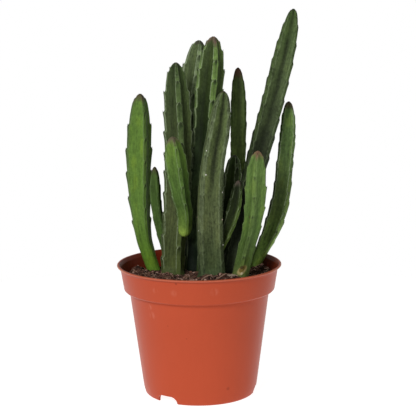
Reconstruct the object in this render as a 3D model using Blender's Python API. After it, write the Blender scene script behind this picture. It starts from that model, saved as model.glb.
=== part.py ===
# Potted stapelia: four-ribbed succulent stems with toothed ribs, standing in soil in a 12 cm nursery pot.
# Sizes are in millimetres and are scaled to metres as each mesh is made. Places are measured from the
# pot's axis, with +X to the viewer's right, +Y away from the viewer, and heights above the table.

import math
import random

import bmesh
import bpy
from mathutils import Vector

MM = 0.001
GAP = 0.3                     # clearance between a piece and the one that holds it
POT_AXIS_X = -6.48            # the pot stands left of the origin, because the tallest stem leans right
FACETS = 48                   # facets round the pot and round the soil

# Pot
POT_HEIGHT = 96.0
LIP_RADIUS = 60.0
LIP_DEPTH = 1.2               # height of the thin lip's edge
LIP_EDGE = 0.4                # rounding of the lip's edges
LIP_FILLET = 1.8              # height of the curve from the band out to the lip
BAND_TOP_RADIUS = 58.0        # the wide band, carried on up to the pot's top
BAND_FOOT_RADIUS = 55.1       # and at its lower edge
BAND_FOOT_HEIGHT = 77.0
BAND_EDGE = 1.0               # rounding of that edge, and of the corner under it
WALL_TOP_RADIUS = 51.2        # the plain wall, where it meets the band's underside
WALL_FOOT_RADIUS = 42.6
WALL_FOOT_HEIGHT = 12.0
FOOT_CURVE = 0.4              # where the foot's curve bends most, as a share of WALL_FOOT_HEIGHT
FOOT_RADIUS = 40.6
FOOT_EDGE = 1.0               # rounding at the foot's outer edge
WALL = 1.3
BASE_HEIGHT = 6.0             # underside of the raised base plate
FLOOR_HEIGHT = 7.3            # its upper side
FLOOR_RADIUS = 40.3
FOOT_RING_INNER = 38.2

# Drainage: three notches in the foot ring and a ring of holes in the base plate
NOTCH_WIDTH = 17.0
NOTCH_HEIGHT = 5.6
NOTCH_CORNER = 3.0
NOTCH_TURNS = (234, 354, 114)
DRAIN_HOLES = 6
DRAIN_HOLE_RADIUS = 4.5
DRAIN_HOLE_CIRCLE = 26.0
DRAIN_HOLE_FACETS = 16
CUT_PAST = 4.0                # how far a cutter reaches past what it cuts

# Soil
SOIL_TOP = 87.6               # highest, over the pot's axis
SOIL_EDGE_DROP = 2.6
SOIL_TILT = 1.6               # the right edge is this much higher, the left edge this much lower
SOIL_RADIUS = 54.2
SOIL_LUMP = 0.6               # height of its lumps
SOIL_WAVES = (4.3, 3.9, 5.7)  # and three lengths that set how far apart they are
SOIL_SIDE_TOP = 80.0          # its side follows the pot's wall and step up to here
SOIL_RINGS = (1, 0.86, 0.72, 0.58, 0.46, 0.26, 0.06)   # rings of its top, as shares of its radius
SOIL_HEAPS = (                # x and y of each heap, how wide it spreads, and its height
    (3, -25, 11, 5.5),
    (26, -23, 8, 3.0),
    (-25, -6, 8, 3.5),
    (-47, 20, 7, 6.0),
)
HOLE_FACETS = 16
HOLE_ABOVE_SOIL = 12          # how far the hole's cutter reaches above the stem's foot

# Stems
FOOT_GROOVE = 0.8             # depth of the grooves between ribs at the foot, as a share of their full one
FULL_GROOVE_FROM = 0.6        # share of a stem's length above which its grooves have their full depth
SPACING_GROWTH = 0.015        # how much further apart teeth get for each millimetre from the tip
SPACING_SPREAD = 0.12
TOOTH = 1.0                   # how far a tooth stands out
TOOTH_POINT = 0.5             # how much of the crest's width is gone at a tooth's tip
TOOTH_FADE = 13.0             # length over which a rib swells out to its lowest tooth
NOTCH_ABOVE_TOOTH = 0.35
TOOTH_SHELF = 1.8             # from a tooth's tip up to the notch above it
RING_GAP = 0.25               # rings no further apart than this become one
TIP_POWER = 2.6
TIP_STATIONS = (6.0, 3.0, 1.0, 0.0)
TIP_FLAT = 0.1                # radius of the tip's end, as a share of the full one
FULL_TOOTH_RADIUS = 8.0       # ribs smaller than this carry smaller teeth
BURIED = 16.0                 # how deep a stem's foot stands in the soil
FOOT_SHOULDER = 4.0           # depth at which the foot starts to narrow
FOOT_END = 0.6                # radius of the foot's end, as a share of the radius at the soil
FOOT_ROUND = 1.0              # length of plain round foot above the soil
RIBS_FROM = 0.75              # where the ribs are full, as a share of the toothless foot's length
BUTT_STATIONS = (0.0, 0.8, 2.4, 6.0)   # rings of a shoot's rounded lower end

# Each stem: the turn of its first rib (0 to the viewer's right, 90 towards the viewer) at its foot and
# its tip, the length of its tapering tip, the length of its round and toothless foot, the width of a
# rib's crest in degrees, seen from the stem's axis, the depth of a groove, as a share of the rib's
# radius, the distance from the tip to the first tooth, the pair of ribs that it is on, the spacing of
# a rib's teeth at the tip, its colour, and its route: x, y, height and rib radius.
STEMS = {
    "left_stem": {
        "turns": (60, 60), "taper": 58, "bare": 36, "crest": 14, "groove": 0.31,
        "first_tooth": 14, "first_pair": 0, "spacing": 17, "colour": (0.10, 0.25, 0.04),
        "route": [(-34.3, 27, 85, 5.0), (-38.3, 27.2, 98, 5.5), (-41.6, 27.4, 112, 6.3),
                  (-44.0, 27.8, 138, 8.3), (-44.2, 28.2, 166, 9.9), (-43.4, 28.6, 192, 10.2),
                  (-42.5, 29, 217.5, 10.4)],
    },
    "forked_stem": {
        "turns": (60, 84), "taper": 50, "bare": 8, "crest": 24, "groove": 0.36,
        "first_tooth": 7.3, "first_pair": 1, "spacing": 14, "colour": (0.05, 0.11, 0.03),
        "route": [(-19.5, 5, 86.5, 8.8), (-18.6, 5.3, 108, 9.0), (-16.2, 6, 140, 9.4),
                  (-14.6, 6.6, 171, 9.8), (-14.5, 7, 195, 9.8), (-15.1, 7.5, 222, 9.8),
                  (-15.5, 8, 241.7, 9.8)],
    },
    "rear_tall_stem": {
        "turns": (78, 78), "taper": 50, "bare": 12, "crest": 26, "groove": 0.38,
        "first_tooth": 3.8, "first_pair": 1, "spacing": 14, "colour": (0.05, 0.10, 0.03),
        "route": [(-16.2, 33, 86, 8.0), (-13.0, 34.5, 125, 9.0), (-9.3, 36.5, 174, 9.8),
                  (-5.2, 38.1, 212, 10.2), (-1.0, 39.3, 239, 10.4), (1.5, 40, 255.8, 10.4)],
    },
    "middle_tall_stem": {
        "turns": (71, 71), "taper": 48, "bare": 12, "crest": 26, "groove": 0.37,
        "first_tooth": 10.5, "first_pair": 1, "spacing": 14, "colour": (0.05, 0.11, 0.03),
        "route": [(-2.6, 16, 87.3, 8.4), (1.3, 16.6, 140, 9.4), (6.1, 17.2, 193, 9.9),
                  (7.9, 17.5, 216, 10.1), (10.2, 17.8, 238, 10.3), (11.9, 18, 259.6, 10.4)],
    },
    "front_stem": {
        "turns": (40, 40), "taper": 40, "bare": 8, "crest": 22, "groove": 0.37,
        "first_tooth": 11.5, "first_pair": 1, "spacing": 12.5, "colour": (0.08, 0.14, 0.06),
        "route": [(9.3, -12, 87.7, 11.0), (8.5, -11.6, 106, 10.8), (8.0, -11.2, 124, 10.8),
                  (8.3, -10.8, 143, 10.3), (9.3, -10.4, 160, 9.8), (11.6, -10, 178, 9.3),
                  (15.1, -9.6, 196, 9.2), (18.8, -9, 222.2, 9.2)],
    },
    "thin_rear_stem": {
        "turns": (45, 45), "taper": 45, "bare": 12, "crest": 18, "groove": 0.36,
        "first_tooth": 10, "first_pair": 0, "spacing": 14, "colour": (0.04, 0.09, 0.03),
        "route": [(27.2, 36.5, 86.3, 5.4), (28.9, 39, 130, 6.2), (29.8, 40.7, 168, 6.8),
                  (30.3, 42, 205, 7.2), (30.0, 43, 235.2, 7.2)],
    },
    "short_rear_stem": {
        "turns": (63, 63), "taper": 30, "bare": 10, "crest": 30, "groove": 0.4,
        "first_tooth": 9, "first_pair": 0, "spacing": 10, "colour": (0.02, 0.04, 0.02),
        "route": [(19.2, 27, 86.8, 5.0), (21.0, 26.4, 112, 5.9), (22.9, 25.9, 137, 6.8),
                  (25.2, 25.4, 156, 7.3), (26.7, 25, 172, 7.4)],
    },
    "tallest_stem": {
        "turns": (45, 45), "taper": 55, "bare": 10, "crest": 18, "groove": 0.37,
        "first_tooth": 12, "first_pair": 0, "spacing": 13.5, "colour": (0.06, 0.13, 0.05),
        "route": [(23.4, 7, 87.7, 8.2), (30.2, 8.5, 121, 8.9), (35.4, 9.5, 141, 9.3),
                  (45.7, 11.3, 180, 9.5), (53.0, 12.6, 207, 9.5), (61.3, 14.1, 240, 9.3),
                  (66.6, 15.2, 262.5, 9.2), (69.8, 16, 279, 9.2)],
    },
    "short_front_stem": {
        "turns": (99, 99), "taper": 35, "bare": 16, "crest": 24, "groove": 0.33,
        "first_tooth": 12, "first_pair": 1, "spacing": 14, "colour": (0.12, 0.25, 0.06),
        "route": [(29.5, -13, 87.6, 6.1), (33.5, -13.2, 106, 5.9), (38.0, -13.4, 124, 6.3),
                  (40.6, -13.6, 143, 7.3), (41.3, -13.8, 162, 7.5), (42.7, -14, 180, 7.5)],
    },
    "bent_right_stem": {
        "turns": (65, 45), "taper": 35, "bare": 24, "crest": 16, "groove": 0.34,
        "first_tooth": 10, "first_pair": 0, "spacing": 14, "colour": (0.05, 0.15, 0.04),
        "route": [(39.8, 21, 86.8, 4.9), (44.5, 21.3, 96.5, 5.1), (49.2, 21.4, 106, 6.0),
                  (53.9, 21.5, 116, 7.1), (58.2, 21.6, 129, 7.9), (61.7, 21.8, 145, 7.5),
                  (63.7, 22, 165, 7.3), (65.8, 22, 187, 7.2), (66.7, 22, 211.6, 7.2)],
    },
}

# Shoots grow out of a stem and are one piece with it. Their routes start inside it.
SHOOTS = {
    "bright_shoot": {
        "parent": "forked_stem", "turns": (70, 70), "taper": 30, "bare": 16, "crest": 20, "groove": 0.33,
        "first_tooth": 8, "first_pair": 0, "spacing": 13, "colour": (0.10, 0.25, 0.04),
        "route": [(-11.0, 0.4, 116, 4.8), (-10.0, -2.6, 124, 5.1), (-10.2, -6.2, 136, 5.7),
                  (-12.4, -9.2, 147.5, 6.4), (-15.0, -13.0, 166.5, 7.7), (-18.2, -18, 191, 8.0)],
    },
    "back_shoot": {
        "parent": "forked_stem", "turns": (60, 60), "taper": 30, "bare": 14, "crest": 18, "groove": 0.34,
        "first_tooth": 9, "first_pair": 0, "spacing": 11, "colour": (0.05, 0.11, 0.03),
        "route": [(-22.4, 8.6, 97, 3.6), (-25.4, 10.8, 109, 3.8), (-28.7, 12, 121, 3.8),
                  (-31.4, 13.6, 139, 4.2), (-31.9, 14.8, 152, 4.5), (-32.1, 15.6, 165, 4.5)],
    },
    "side_shoot": {
        "parent": "front_stem", "turns": (50, 50), "taper": 35, "bare": 14, "crest": 26, "groove": 0.36,
        "first_tooth": 8, "first_pair": 0, "spacing": 11, "colour": (0.06, 0.13, 0.04),
        "route": [(11.5, -7.0, 99, 4.2), (15.4, -5.8, 111, 4.9), (19.8, -6.2, 121.5, 5.7),
                  (24.0, -7.2, 133, 6.0), (26.6, -8, 143, 6.0), (28.9, -9, 158, 6.0)],
    },
}

SHOOT_SEED = 20               # seeds of the shoots' teeth start here, and those of the stems at 0
SAMPLES_PER_SPAN = 16
POT_COLOUR = (0.50, 0.10, 0.05)
POT_ROUGHNESS = 0.4
SOIL_COLOUR = (0.05, 0.03, 0.02)
SOIL_ROUGHNESS = 0.95
STEM_ROUGHNESS = 0.6
SHARP_ANGLE = math.radians(40)


def clear_scene():
    for item in list(bpy.data.objects):
        bpy.data.objects.remove(item, do_unlink=True)


def material(name, colour, roughness):
    made = bpy.data.materials.new(name)
    made.use_nodes = True
    shader = made.node_tree.nodes["Principled BSDF"]
    shader.inputs["Base Color"].default_value = (*colour, 1)
    shader.inputs["Roughness"].default_value = roughness
    shader.inputs["Metallic"].default_value = 0
    return made


def stack_rings(bm, rings):
    """Extrude a closed body through rings of points, each with as many points as the first."""
    bmesh.ops.create_circle(bm, cap_ends=True, segments=len(rings[0]), radius=1)
    bm.faces.ensure_lookup_table()
    face = bm.faces[-1]
    for number, ring in enumerate(rings):
        if number:
            made = bmesh.ops.extrude_face_region(bm, geom=[face])["geom"]
            if number > 1:
                bmesh.ops.delete(bm, geom=[face], context="FACES_ONLY")
            face = next(item for item in made if isinstance(item, bmesh.types.BMFace))
        for vert, point in zip(face.verts, ring):
            vert.co = point * MM


def finish_object(name, bm, parent, place, colour, roughness):
    """Make the object of a bmesh whose points are measured from the parent's origin."""
    bmesh.ops.translate(bm, verts=bm.verts, vec=-place * MM)
    bmesh.ops.recalc_face_normals(bm, faces=bm.faces)
    bmesh.ops.triangulate(bm, faces=bm.faces)
    mesh = bpy.data.meshes.new(name)
    bm.to_mesh(mesh)
    bm.free()
    mesh.shade_smooth()
    mesh.set_sharp_from_angle(angle=SHARP_ANGLE)
    made = bpy.data.objects.new(name, mesh)
    bpy.context.collection.objects.link(made)
    made.parent = parent
    made.location = place * MM
    mesh.materials.append(material(name, colour, roughness))
    return made


def cut(target, cutter):
    """Subtract a cutter that stays in the file as a hidden guide."""
    cutter.hide_render = True
    cutter.display_type = "WIRE"
    boolean = target.modifiers.new(cutter.name, "BOOLEAN")
    boolean.operation = "DIFFERENCE"
    boolean.solver = "EXACT"
    boolean.object = cutter


def circle(radius, height, facets=FACETS):
    """Points of a level ring round the pot's axis."""
    angles = [math.tau * number / facets for number in range(facets)]
    return [Vector((radius * math.cos(angle), radius * math.sin(angle), height)) for angle in angles]


# Pot

def body_profile():
    """Radius and height up the outside of the pot, from the foot to just under the top, without the lip."""
    top = POT_HEIGHT - 2 * LIP_EDGE
    slope = lean(WALL_FOOT_RADIUS, WALL_TOP_RADIUS, WALL_FOOT_HEIGHT, BAND_FOOT_HEIGHT)
    return [
        (FOOT_RADIUS - FOOT_EDGE, 0),
        (FOOT_RADIUS, FOOT_EDGE),
        ((FOOT_RADIUS + WALL_FOOT_RADIUS) / 2, WALL_FOOT_HEIGHT * FOOT_CURVE),
        (WALL_FOOT_RADIUS, WALL_FOOT_HEIGHT),
        (WALL_TOP_RADIUS - slope * BAND_EDGE, BAND_FOOT_HEIGHT - BAND_EDGE),
        (WALL_TOP_RADIUS + BAND_EDGE, BAND_FOOT_HEIGHT),
        (BAND_FOOT_RADIUS - BAND_EDGE, BAND_FOOT_HEIGHT),
        (BAND_FOOT_RADIUS, BAND_FOOT_HEIGHT + BAND_EDGE),
        (band_radius(top), top),
    ]


def lean(low_radius, high_radius, low, high):
    """How much a wall widens for each millimetre of its height."""
    return (high_radius - low_radius) / (high - low)


def band_radius(height):
    slope = lean(BAND_FOOT_RADIUS, BAND_TOP_RADIUS, BAND_FOOT_HEIGHT + BAND_EDGE, POT_HEIGHT)
    return BAND_TOP_RADIUS - slope * (POT_HEIGHT - height)


def lip_profile():
    """From the band's face out under the thin lip, round its edge and onto its flat top."""
    underside = POT_HEIGHT - LIP_DEPTH
    return [
        (band_radius(underside - LIP_FILLET), underside - LIP_FILLET),
        (band_radius(underside) + LIP_EDGE, underside - LIP_EDGE),
        (LIP_RADIUS - LIP_EDGE, underside),
        (LIP_RADIUS, underside + LIP_EDGE),
        (LIP_RADIUS, POT_HEIGHT - LIP_EDGE),
        (LIP_RADIUS - LIP_EDGE, POT_HEIGHT),
    ]


def offset_profile(profile, distance):
    """Move an open profile inwards by the same distance all along, with its corners kept."""
    points = [Vector(point) for point in profile]
    moved = []
    for number, point in enumerate(points):
        after = (points[min(number + 1, len(points) - 1)] - points[min(number, len(points) - 2)]).normalized()
        before = (points[max(number, 1)] - points[max(number - 1, 0)]).normalized()
        halfway = (before + after).normalized()
        reach = distance / halfway.dot(after)
        moved.append((point.x - reach * halfway.y, point.y + reach * halfway.x))
    return moved


def make_pot(parent):
    body = body_profile()
    inner = [point for point in offset_profile(body, WALL) if point[1] > FLOOR_HEIGHT]
    profile = [(FOOT_RING_INNER, BASE_HEIGHT), (FOOT_RING_INNER, 0)] + body[:-1] + lip_profile()
    profile += [(inner[-1][0] + LIP_EDGE, POT_HEIGHT)] + inner[::-1] + [(FLOOR_RADIUS, FLOOR_HEIGHT)]
    bm = bmesh.new()
    stack_rings(bm, [circle(radius, height) for radius, height in profile])
    return finish_object("pot", bm, parent, Vector(), POT_COLOUR, POT_ROUGHNESS)


def make_drainage(parent):
    """One cutter for the notches in the foot ring and the holes in the base plate."""
    bm = bmesh.new()
    for turn in NOTCH_TURNS:
        angle = math.radians(turn)
        outward = Vector((math.cos(angle), math.sin(angle), 0))
        across = Vector((-math.sin(angle), math.cos(angle), 0))
        outline = [
            (NOTCH_WIDTH / 2, -CUT_PAST),
            (NOTCH_WIDTH / 2, NOTCH_HEIGHT - NOTCH_CORNER),
            (NOTCH_WIDTH / 2 - NOTCH_CORNER, NOTCH_HEIGHT),
        ]
        outline += [(-aside, height) for aside, height in outline[::-1]]
        rings = []
        for radius in (FOOT_RING_INNER - CUT_PAST, WALL_FOOT_RADIUS + CUT_PAST):
            rings.append([outward * radius + across * a + Vector((0, 0, z)) for a, z in outline])
        stack_rings(bm, rings)
    for number in range(DRAIN_HOLES):
        angle = math.tau * number / DRAIN_HOLES
        middle = Vector((math.cos(angle), math.sin(angle), 0)) * DRAIN_HOLE_CIRCLE
        heights = (BASE_HEIGHT - CUT_PAST, FLOOR_HEIGHT + CUT_PAST)
        hole = [circle(DRAIN_HOLE_RADIUS, height, DRAIN_HOLE_FACETS) for height in heights]
        stack_rings(bm, [[middle + point for point in ring] for ring in hole])
    return finish_object("drainage_cutter", bm, parent, Vector(), POT_COLOUR, POT_ROUGHNESS)


# Soil

def soil_height(x, y):
    """Height of the heaped soil, without its lumps."""
    spread = math.hypot(x, y) / SOIL_RADIUS
    level = SOIL_TOP - SOIL_EDGE_DROP * spread ** 2 + SOIL_TILT * x / SOIL_RADIUS
    return level + sum(
        height * math.exp(-math.hypot(x - middle_x, y - middle_y) ** 2 / wide ** 2)
        for middle_x, middle_y, wide, height in SOIL_HEAPS
    )


def soil_lump(x, y):
    across, away, slant = SOIL_WAVES
    small = math.sin(x / across + 1) * math.cos(y / away)
    return SOIL_LUMP * (small + 0.6 * math.sin((x + 2 * y) / slant))


def make_soil(parent):
    side = offset_profile(body_profile(), WALL + GAP)
    side = [point for point in side if FLOOR_HEIGHT + GAP < point[1] < SOIL_SIDE_TOP]
    rings = [circle(FLOOR_RADIUS - GAP, FLOOR_HEIGHT + GAP)]
    rings += [circle(radius, height) for radius, height in side]
    for share in SOIL_RINGS:
        ring = circle(SOIL_RADIUS * share, 0)
        for point in ring:
            point.z = soil_height(point.x, point.y) + soil_lump(point.x, point.y)
        rings.append(ring)
    bm = bmesh.new()
    stack_rings(bm, rings)
    return finish_object("soil", bm, parent, Vector(), SOIL_COLOUR, SOIL_ROUGHNESS)


# Stems

class Route:
    """A smooth curve through a stem's route, read by its length from the foot."""

    def __init__(self, points):
        points = [Vector(point) for point in points]
        self.lengths = []
        self.places = []
        for number in range(len(points) - 1):
            start, end = points[number], points[number + 1]
            before = points[max(number - 1, 0)]
            after = points[min(number + 2, len(points) - 1)]
            steps = SAMPLES_PER_SPAN + (number == len(points) - 2)
            for step in range(steps):
                t = step / SAMPLES_PER_SPAN
                bend = (2 * before - 5 * start + 4 * end - after) * t ** 2
                swing = (3 * start - before - 3 * end + after) * t ** 3
                self.add(start + 0.5 * ((end - before) * t + bend + swing))

    def add(self, place):
        if self.places:
            step = (place - self.places[-1]).to_3d().length
            self.lengths.append(self.lengths[-1] + step)
        else:
            self.lengths.append(0)
        self.places.append(place)

    @property
    def total(self):
        return self.lengths[-1]

    def at(self, length):
        """Centre, direction and radius; past the foot the curve goes on straight."""
        number = next((i for i, reach in enumerate(self.lengths) if reach >= length), len(self.lengths) - 1)
        number = max(number, 1)
        low, high = self.places[number - 1], self.places[number]
        span = self.lengths[number] - self.lengths[number - 1]
        share = (length - self.lengths[number - 1]) / span
        place = low.lerp(high, share)
        ahead = self.places[min(number + 1, len(self.places) - 1)]
        behind = self.places[max(number - 2, 0)]
        if length <= 0:
            ahead, behind = self.places[1], self.places[0]
        radius = self.places[0].w if length <= 0 else place.w
        return place.to_3d(), (ahead - behind).to_3d().normalized(), radius


def teeth_from_tip(stem, total, seed):
    """Distances from the tip of the teeth on each of the two pairs of opposite ribs."""
    draw = random.Random(seed)
    teeth = ([], [])
    distance, pair = stem["first_tooth"], stem["first_pair"]
    while distance < total - stem["bare"]:
        teeth[pair].append(distance)
        spacing = stem["spacing"] + SPACING_GROWTH * distance
        distance += spacing / 2 * draw.uniform(1 - SPACING_SPREAD, 1 + SPACING_SPREAD)
        pair = 1 - pair
    return teeth


def tooth_height(distance, teeth):
    """How far a rib stands out for its teeth: out to each tip, sharply in to the notch above it."""
    above = max((tooth for tooth in teeth if tooth <= distance), default=None)
    below = min((tooth for tooth in teeth if tooth > distance), default=None)
    if below is not None and distance > below - TOOTH_SHELF:
        share = (below - distance) / TOOTH_SHELF
        return TOOTH - (TOOTH + NOTCH_ABOVE_TOOTH) * share
    if above is None:
        return 0
    end = above + TOOTH_FADE if below is None else below - TOOTH_SHELF
    share = min((distance - above) / (end - above), 1)
    if share < 0.5:
        return TOOTH * (1 - 2 * share)
    return -NOTCH_ABOVE_TOOTH * (2 * share - 1) if below is not None else 0


def spaced_out(stations):
    """The stations in order, without one that lies too close above another."""
    kept = []
    for station in sorted(stations):
        if not kept or station - kept[-1] > RING_GAP:
            kept.append(station)
    return kept


def tip_share(distance, taper):
    """Radius near the tip, as a share of the full one."""
    share = min(distance / taper, 1)
    return max(math.sqrt(1 - (1 - share) ** TIP_POWER), TIP_FLAT)


def stem_ring(centre, direction, radius, turn, half_crest, groove, stand_out):
    """Twelve points round a stem: two on each rib's crest and one in each groove."""
    right = (Vector((1, 0, 0)) - direction * direction.x).normalized()
    front = right.cross(direction)
    ring = []
    for rib in range(4):
        angle = turn + rib * math.pi / 2
        crest = radius + stand_out[rib % 2]
        half = half_crest * (1 - TOOTH_POINT * max(stand_out[rib % 2], 0) / TOOTH)
        spokes = [
            (angle - half, crest),
            (angle + half, crest),
            (angle + math.pi / 4, radius * (1 - groove)),
        ]
        ring += [centre + (right * math.cos(a) + front * math.sin(a)) * r for a, r in spokes]
    return ring


def stem_rings(stem, rooted, seed):
    """Rings of a stem from its foot to its tip, with one at each tooth's tip and at the notch above it."""
    route = Route(stem["route"])
    total = route.total
    teeth = teeth_from_tip(stem, total, seed)
    stations = [total - tooth for pair in teeth for tooth in pair]
    stations += [station + TOOTH_SHELF for station in stations]
    stations += [total - distance for distance in TIP_STATIONS]
    stations += [-BURIED, -FOOT_SHOULDER, FOOT_ROUND] if rooted else BUTT_STATIONS
    stations += [stem["bare"] * share for share in (0.5, 1)]
    half_crest = math.radians(stem["crest"] / 2)
    rings = []
    for length in spaced_out(stations):
        centre, direction, radius = route.at(length)
        distance = total - length
        share = max(length, 0) / total
        turn = math.radians(stem["turns"][0] + (stem["turns"][1] - stem["turns"][0]) * share)
        ribbed = min(max((length - FOOT_ROUND) / (stem["bare"] * RIBS_FROM), 0), 1)
        slimming = tip_share(distance, stem["taper"])
        deepening = FOOT_GROOVE + (1 - FOOT_GROOVE) * min(share / FULL_GROOVE_FROM, 1)
        groove = stem["groove"] * ribbed * deepening * (0.5 + 0.5 * slimming)
        swell = ribbed * min(radius * slimming / FULL_TOOTH_RADIUS, 1)
        stand_out = [tooth_height(distance, pair) * swell for pair in teeth]
        if rooted and length < -FOOT_SHOULDER:
            slimming = FOOT_END
        if not rooted:
            rounding = 1 - min(length / BUTT_STATIONS[-1], 1)
            slimming *= max(math.sqrt(1 - rounding ** 2), TIP_FLAT)
        rings.append(stem_ring(centre, direction, radius * slimming, turn, half_crest, groove, stand_out))
    return rings


def make_stem(name, stem, rooted, parent, seed):
    bm = bmesh.new()
    stack_rings(bm, stem_rings(stem, rooted, seed))
    foot = Vector(stem["route"][0][:3])
    return finish_object(name, bm, parent, foot, stem["colour"], STEM_ROUGHNESS)


def grow_together(stem, shoots):
    """Join a stem's shoots to it by one union, and remove the shoots' own objects."""
    group = bpy.data.collections.new(stem.name + "_shoots")
    for shoot in shoots:
        group.objects.link(shoot)
    union = stem.modifiers.new("grown_together", "BOOLEAN")
    union.operation = "UNION"
    union.solver = "EXACT"
    union.operand_type = "COLLECTION"
    union.collection = group
    bpy.context.view_layer.update()
    joined = bpy.data.meshes.new_from_object(stem.evaluated_get(bpy.context.evaluated_depsgraph_get()))
    stem.modifiers.clear()
    stem.data = joined
    for shoot in shoots:
        bpy.data.objects.remove(shoot, do_unlink=True)
    bpy.data.collections.remove(group)


def make_stem_holes(parent):
    """One cutter with a plain round hole for each rooted stem, a gap wider than its foot."""
    bm = bmesh.new()
    for stem in STEMS.values():
        route = Route(stem["route"])
        centre, direction, radius = route.at(0)
        right = (Vector((1, 0, 0)) - direction * direction.x).normalized()
        front = right.cross(direction)
        rings = []
        for depth, share in ((BURIED + GAP, FOOT_END), (FOOT_SHOULDER, 1), (-HOLE_ABOVE_SOIL, 1)):
            wide = (radius * share + GAP) / math.cos(math.pi / HOLE_FACETS)
            middle = centre - direction * depth
            rings.append([middle + right * p.x + front * p.y for p in circle(wide, 0, HOLE_FACETS)])
        stack_rings(bm, rings)
    return finish_object("stem_hole_cutter", bm, parent, Vector(), SOIL_COLOUR, SOIL_ROUGHNESS)


def make_plant(parent):
    stems = {}
    for number, (name, stem) in enumerate(STEMS.items()):
        stems[name] = make_stem(name, stem, True, parent, number)
    for name, stem in stems.items():
        shoots = [
            make_stem(key, shoot, False, parent, SHOOT_SEED + number)
            for number, (key, shoot) in enumerate(SHOOTS.items())
            if shoot["parent"] == name
        ]
        if shoots:
            grow_together(stem, shoots)


clear_scene()
pot_axis = bpy.data.objects.new("pot_axis", None)
bpy.context.collection.objects.link(pot_axis)
pot_axis.location.x = POT_AXIS_X * MM
cut(make_pot(pot_axis), make_drainage(pot_axis))
cut(make_soil(pot_axis), make_stem_holes(pot_axis))
make_plant(pot_axis)
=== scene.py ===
# Looks of the potted stapelia: velvety four-ribbed stems with dark tooth points, standing in peat in a
# satin terracotta-coloured nursery pot. Sizes are in millimetres. Places are measured from the pot's axis,
# with heights above the table, as in the part's source. Each mesh becomes metres when its piece is
# finished.

import math
import random

import bmesh
import bpy
from mathutils import Matrix, Vector, noise


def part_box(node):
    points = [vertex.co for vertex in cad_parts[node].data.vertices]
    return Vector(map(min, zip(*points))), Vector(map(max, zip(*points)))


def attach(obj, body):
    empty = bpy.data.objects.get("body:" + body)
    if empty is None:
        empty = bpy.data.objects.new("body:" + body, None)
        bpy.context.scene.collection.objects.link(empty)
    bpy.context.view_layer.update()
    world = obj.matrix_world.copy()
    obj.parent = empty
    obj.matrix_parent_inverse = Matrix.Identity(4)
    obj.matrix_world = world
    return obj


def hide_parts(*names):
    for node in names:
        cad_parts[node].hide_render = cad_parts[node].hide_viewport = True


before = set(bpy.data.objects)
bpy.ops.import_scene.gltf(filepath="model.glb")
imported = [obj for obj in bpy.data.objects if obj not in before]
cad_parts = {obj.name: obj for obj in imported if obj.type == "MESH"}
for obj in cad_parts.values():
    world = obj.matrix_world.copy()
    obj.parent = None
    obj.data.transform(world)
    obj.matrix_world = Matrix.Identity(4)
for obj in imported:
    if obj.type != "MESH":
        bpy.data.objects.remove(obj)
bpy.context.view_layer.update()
mm = 0.001
potLow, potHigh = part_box("pot")
potAxis = Vector(((potLow.x + potHigh.x) / 2, (potLow.y + potHigh.y) / 2, 0))
bpy.context.scene.view_settings.view_transform = "Standard"


class Value:
    # one output of a node: + - * and abs() on it add Math nodes
    def __init__(self, maker, socket):
        self.maker = maker
        self.socket = socket

    def math(self, operation, first, second):
        return self.maker.node("ShaderNodeMath", {"operation": operation}, {0: first, 1: second})

    def __add__(self, other):
        return self.math("ADD", self, other)

    def __sub__(self, other):
        return self.math("SUBTRACT", self, other)

    def __rsub__(self, other):
        return self.math("SUBTRACT", other, self)

    def __mul__(self, other):
        return self.math("MULTIPLY", self, other)

    def __abs__(self):
        return self.math("ABSOLUTE", self, 0)

    __radd__ = __add__
    __rmul__ = __mul__


class NodeMaker:
    # the nodes of a material or of the sky: node() adds one and returns its output as a Value
    def __init__(self, owner):
        owner.use_nodes = True
        self.nodes = owner.node_tree.nodes
        self.links = owner.node_tree.links

    def node(self, kind, settings=None, inputs=None, output=0):
        made = self.nodes.new(kind)
        for name, setting in (settings or {}).items():
            if name == "stops":
                stops = made.color_ramp.elements
                while len(stops) < len(setting):
                    stops.new(1)
                for stop, (place, colour) in zip(stops, setting):
                    stop.position = place
                    stop.color = (*colour, 1)
            else:
                setattr(made, name, setting)
        self.feed(made, inputs or {})
        return Value(self, made.outputs[output])

    def feed(self, made, inputs):
        for name, given in inputs.items():
            if isinstance(given, Value):
                self.links.new(given.socket, made.inputs[name])
            elif isinstance(given, tuple) and made.inputs[name].type == "RGBA":
                made.inputs[name].default_value = (*given, 1)
            else:
                made.inputs[name].default_value = given

    def part(self, vector, axis):
        return self.node("ShaderNodeSeparateXYZ", None, {0: vector}, axis)

    def rise(self, value, low, high, start=0.0, end=1.0):
        # start below low, end above high, smooth between them
        inputs = {"Value": value, "From Min": low, "From Max": high, "To Min": start, "To Max": end}
        return self.node("ShaderNodeMapRange", {"interpolation_type": "SMOOTHSTEP"}, inputs)

    def fall(self, value, low, high):
        return 1 - self.rise(value, low, high)


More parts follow.
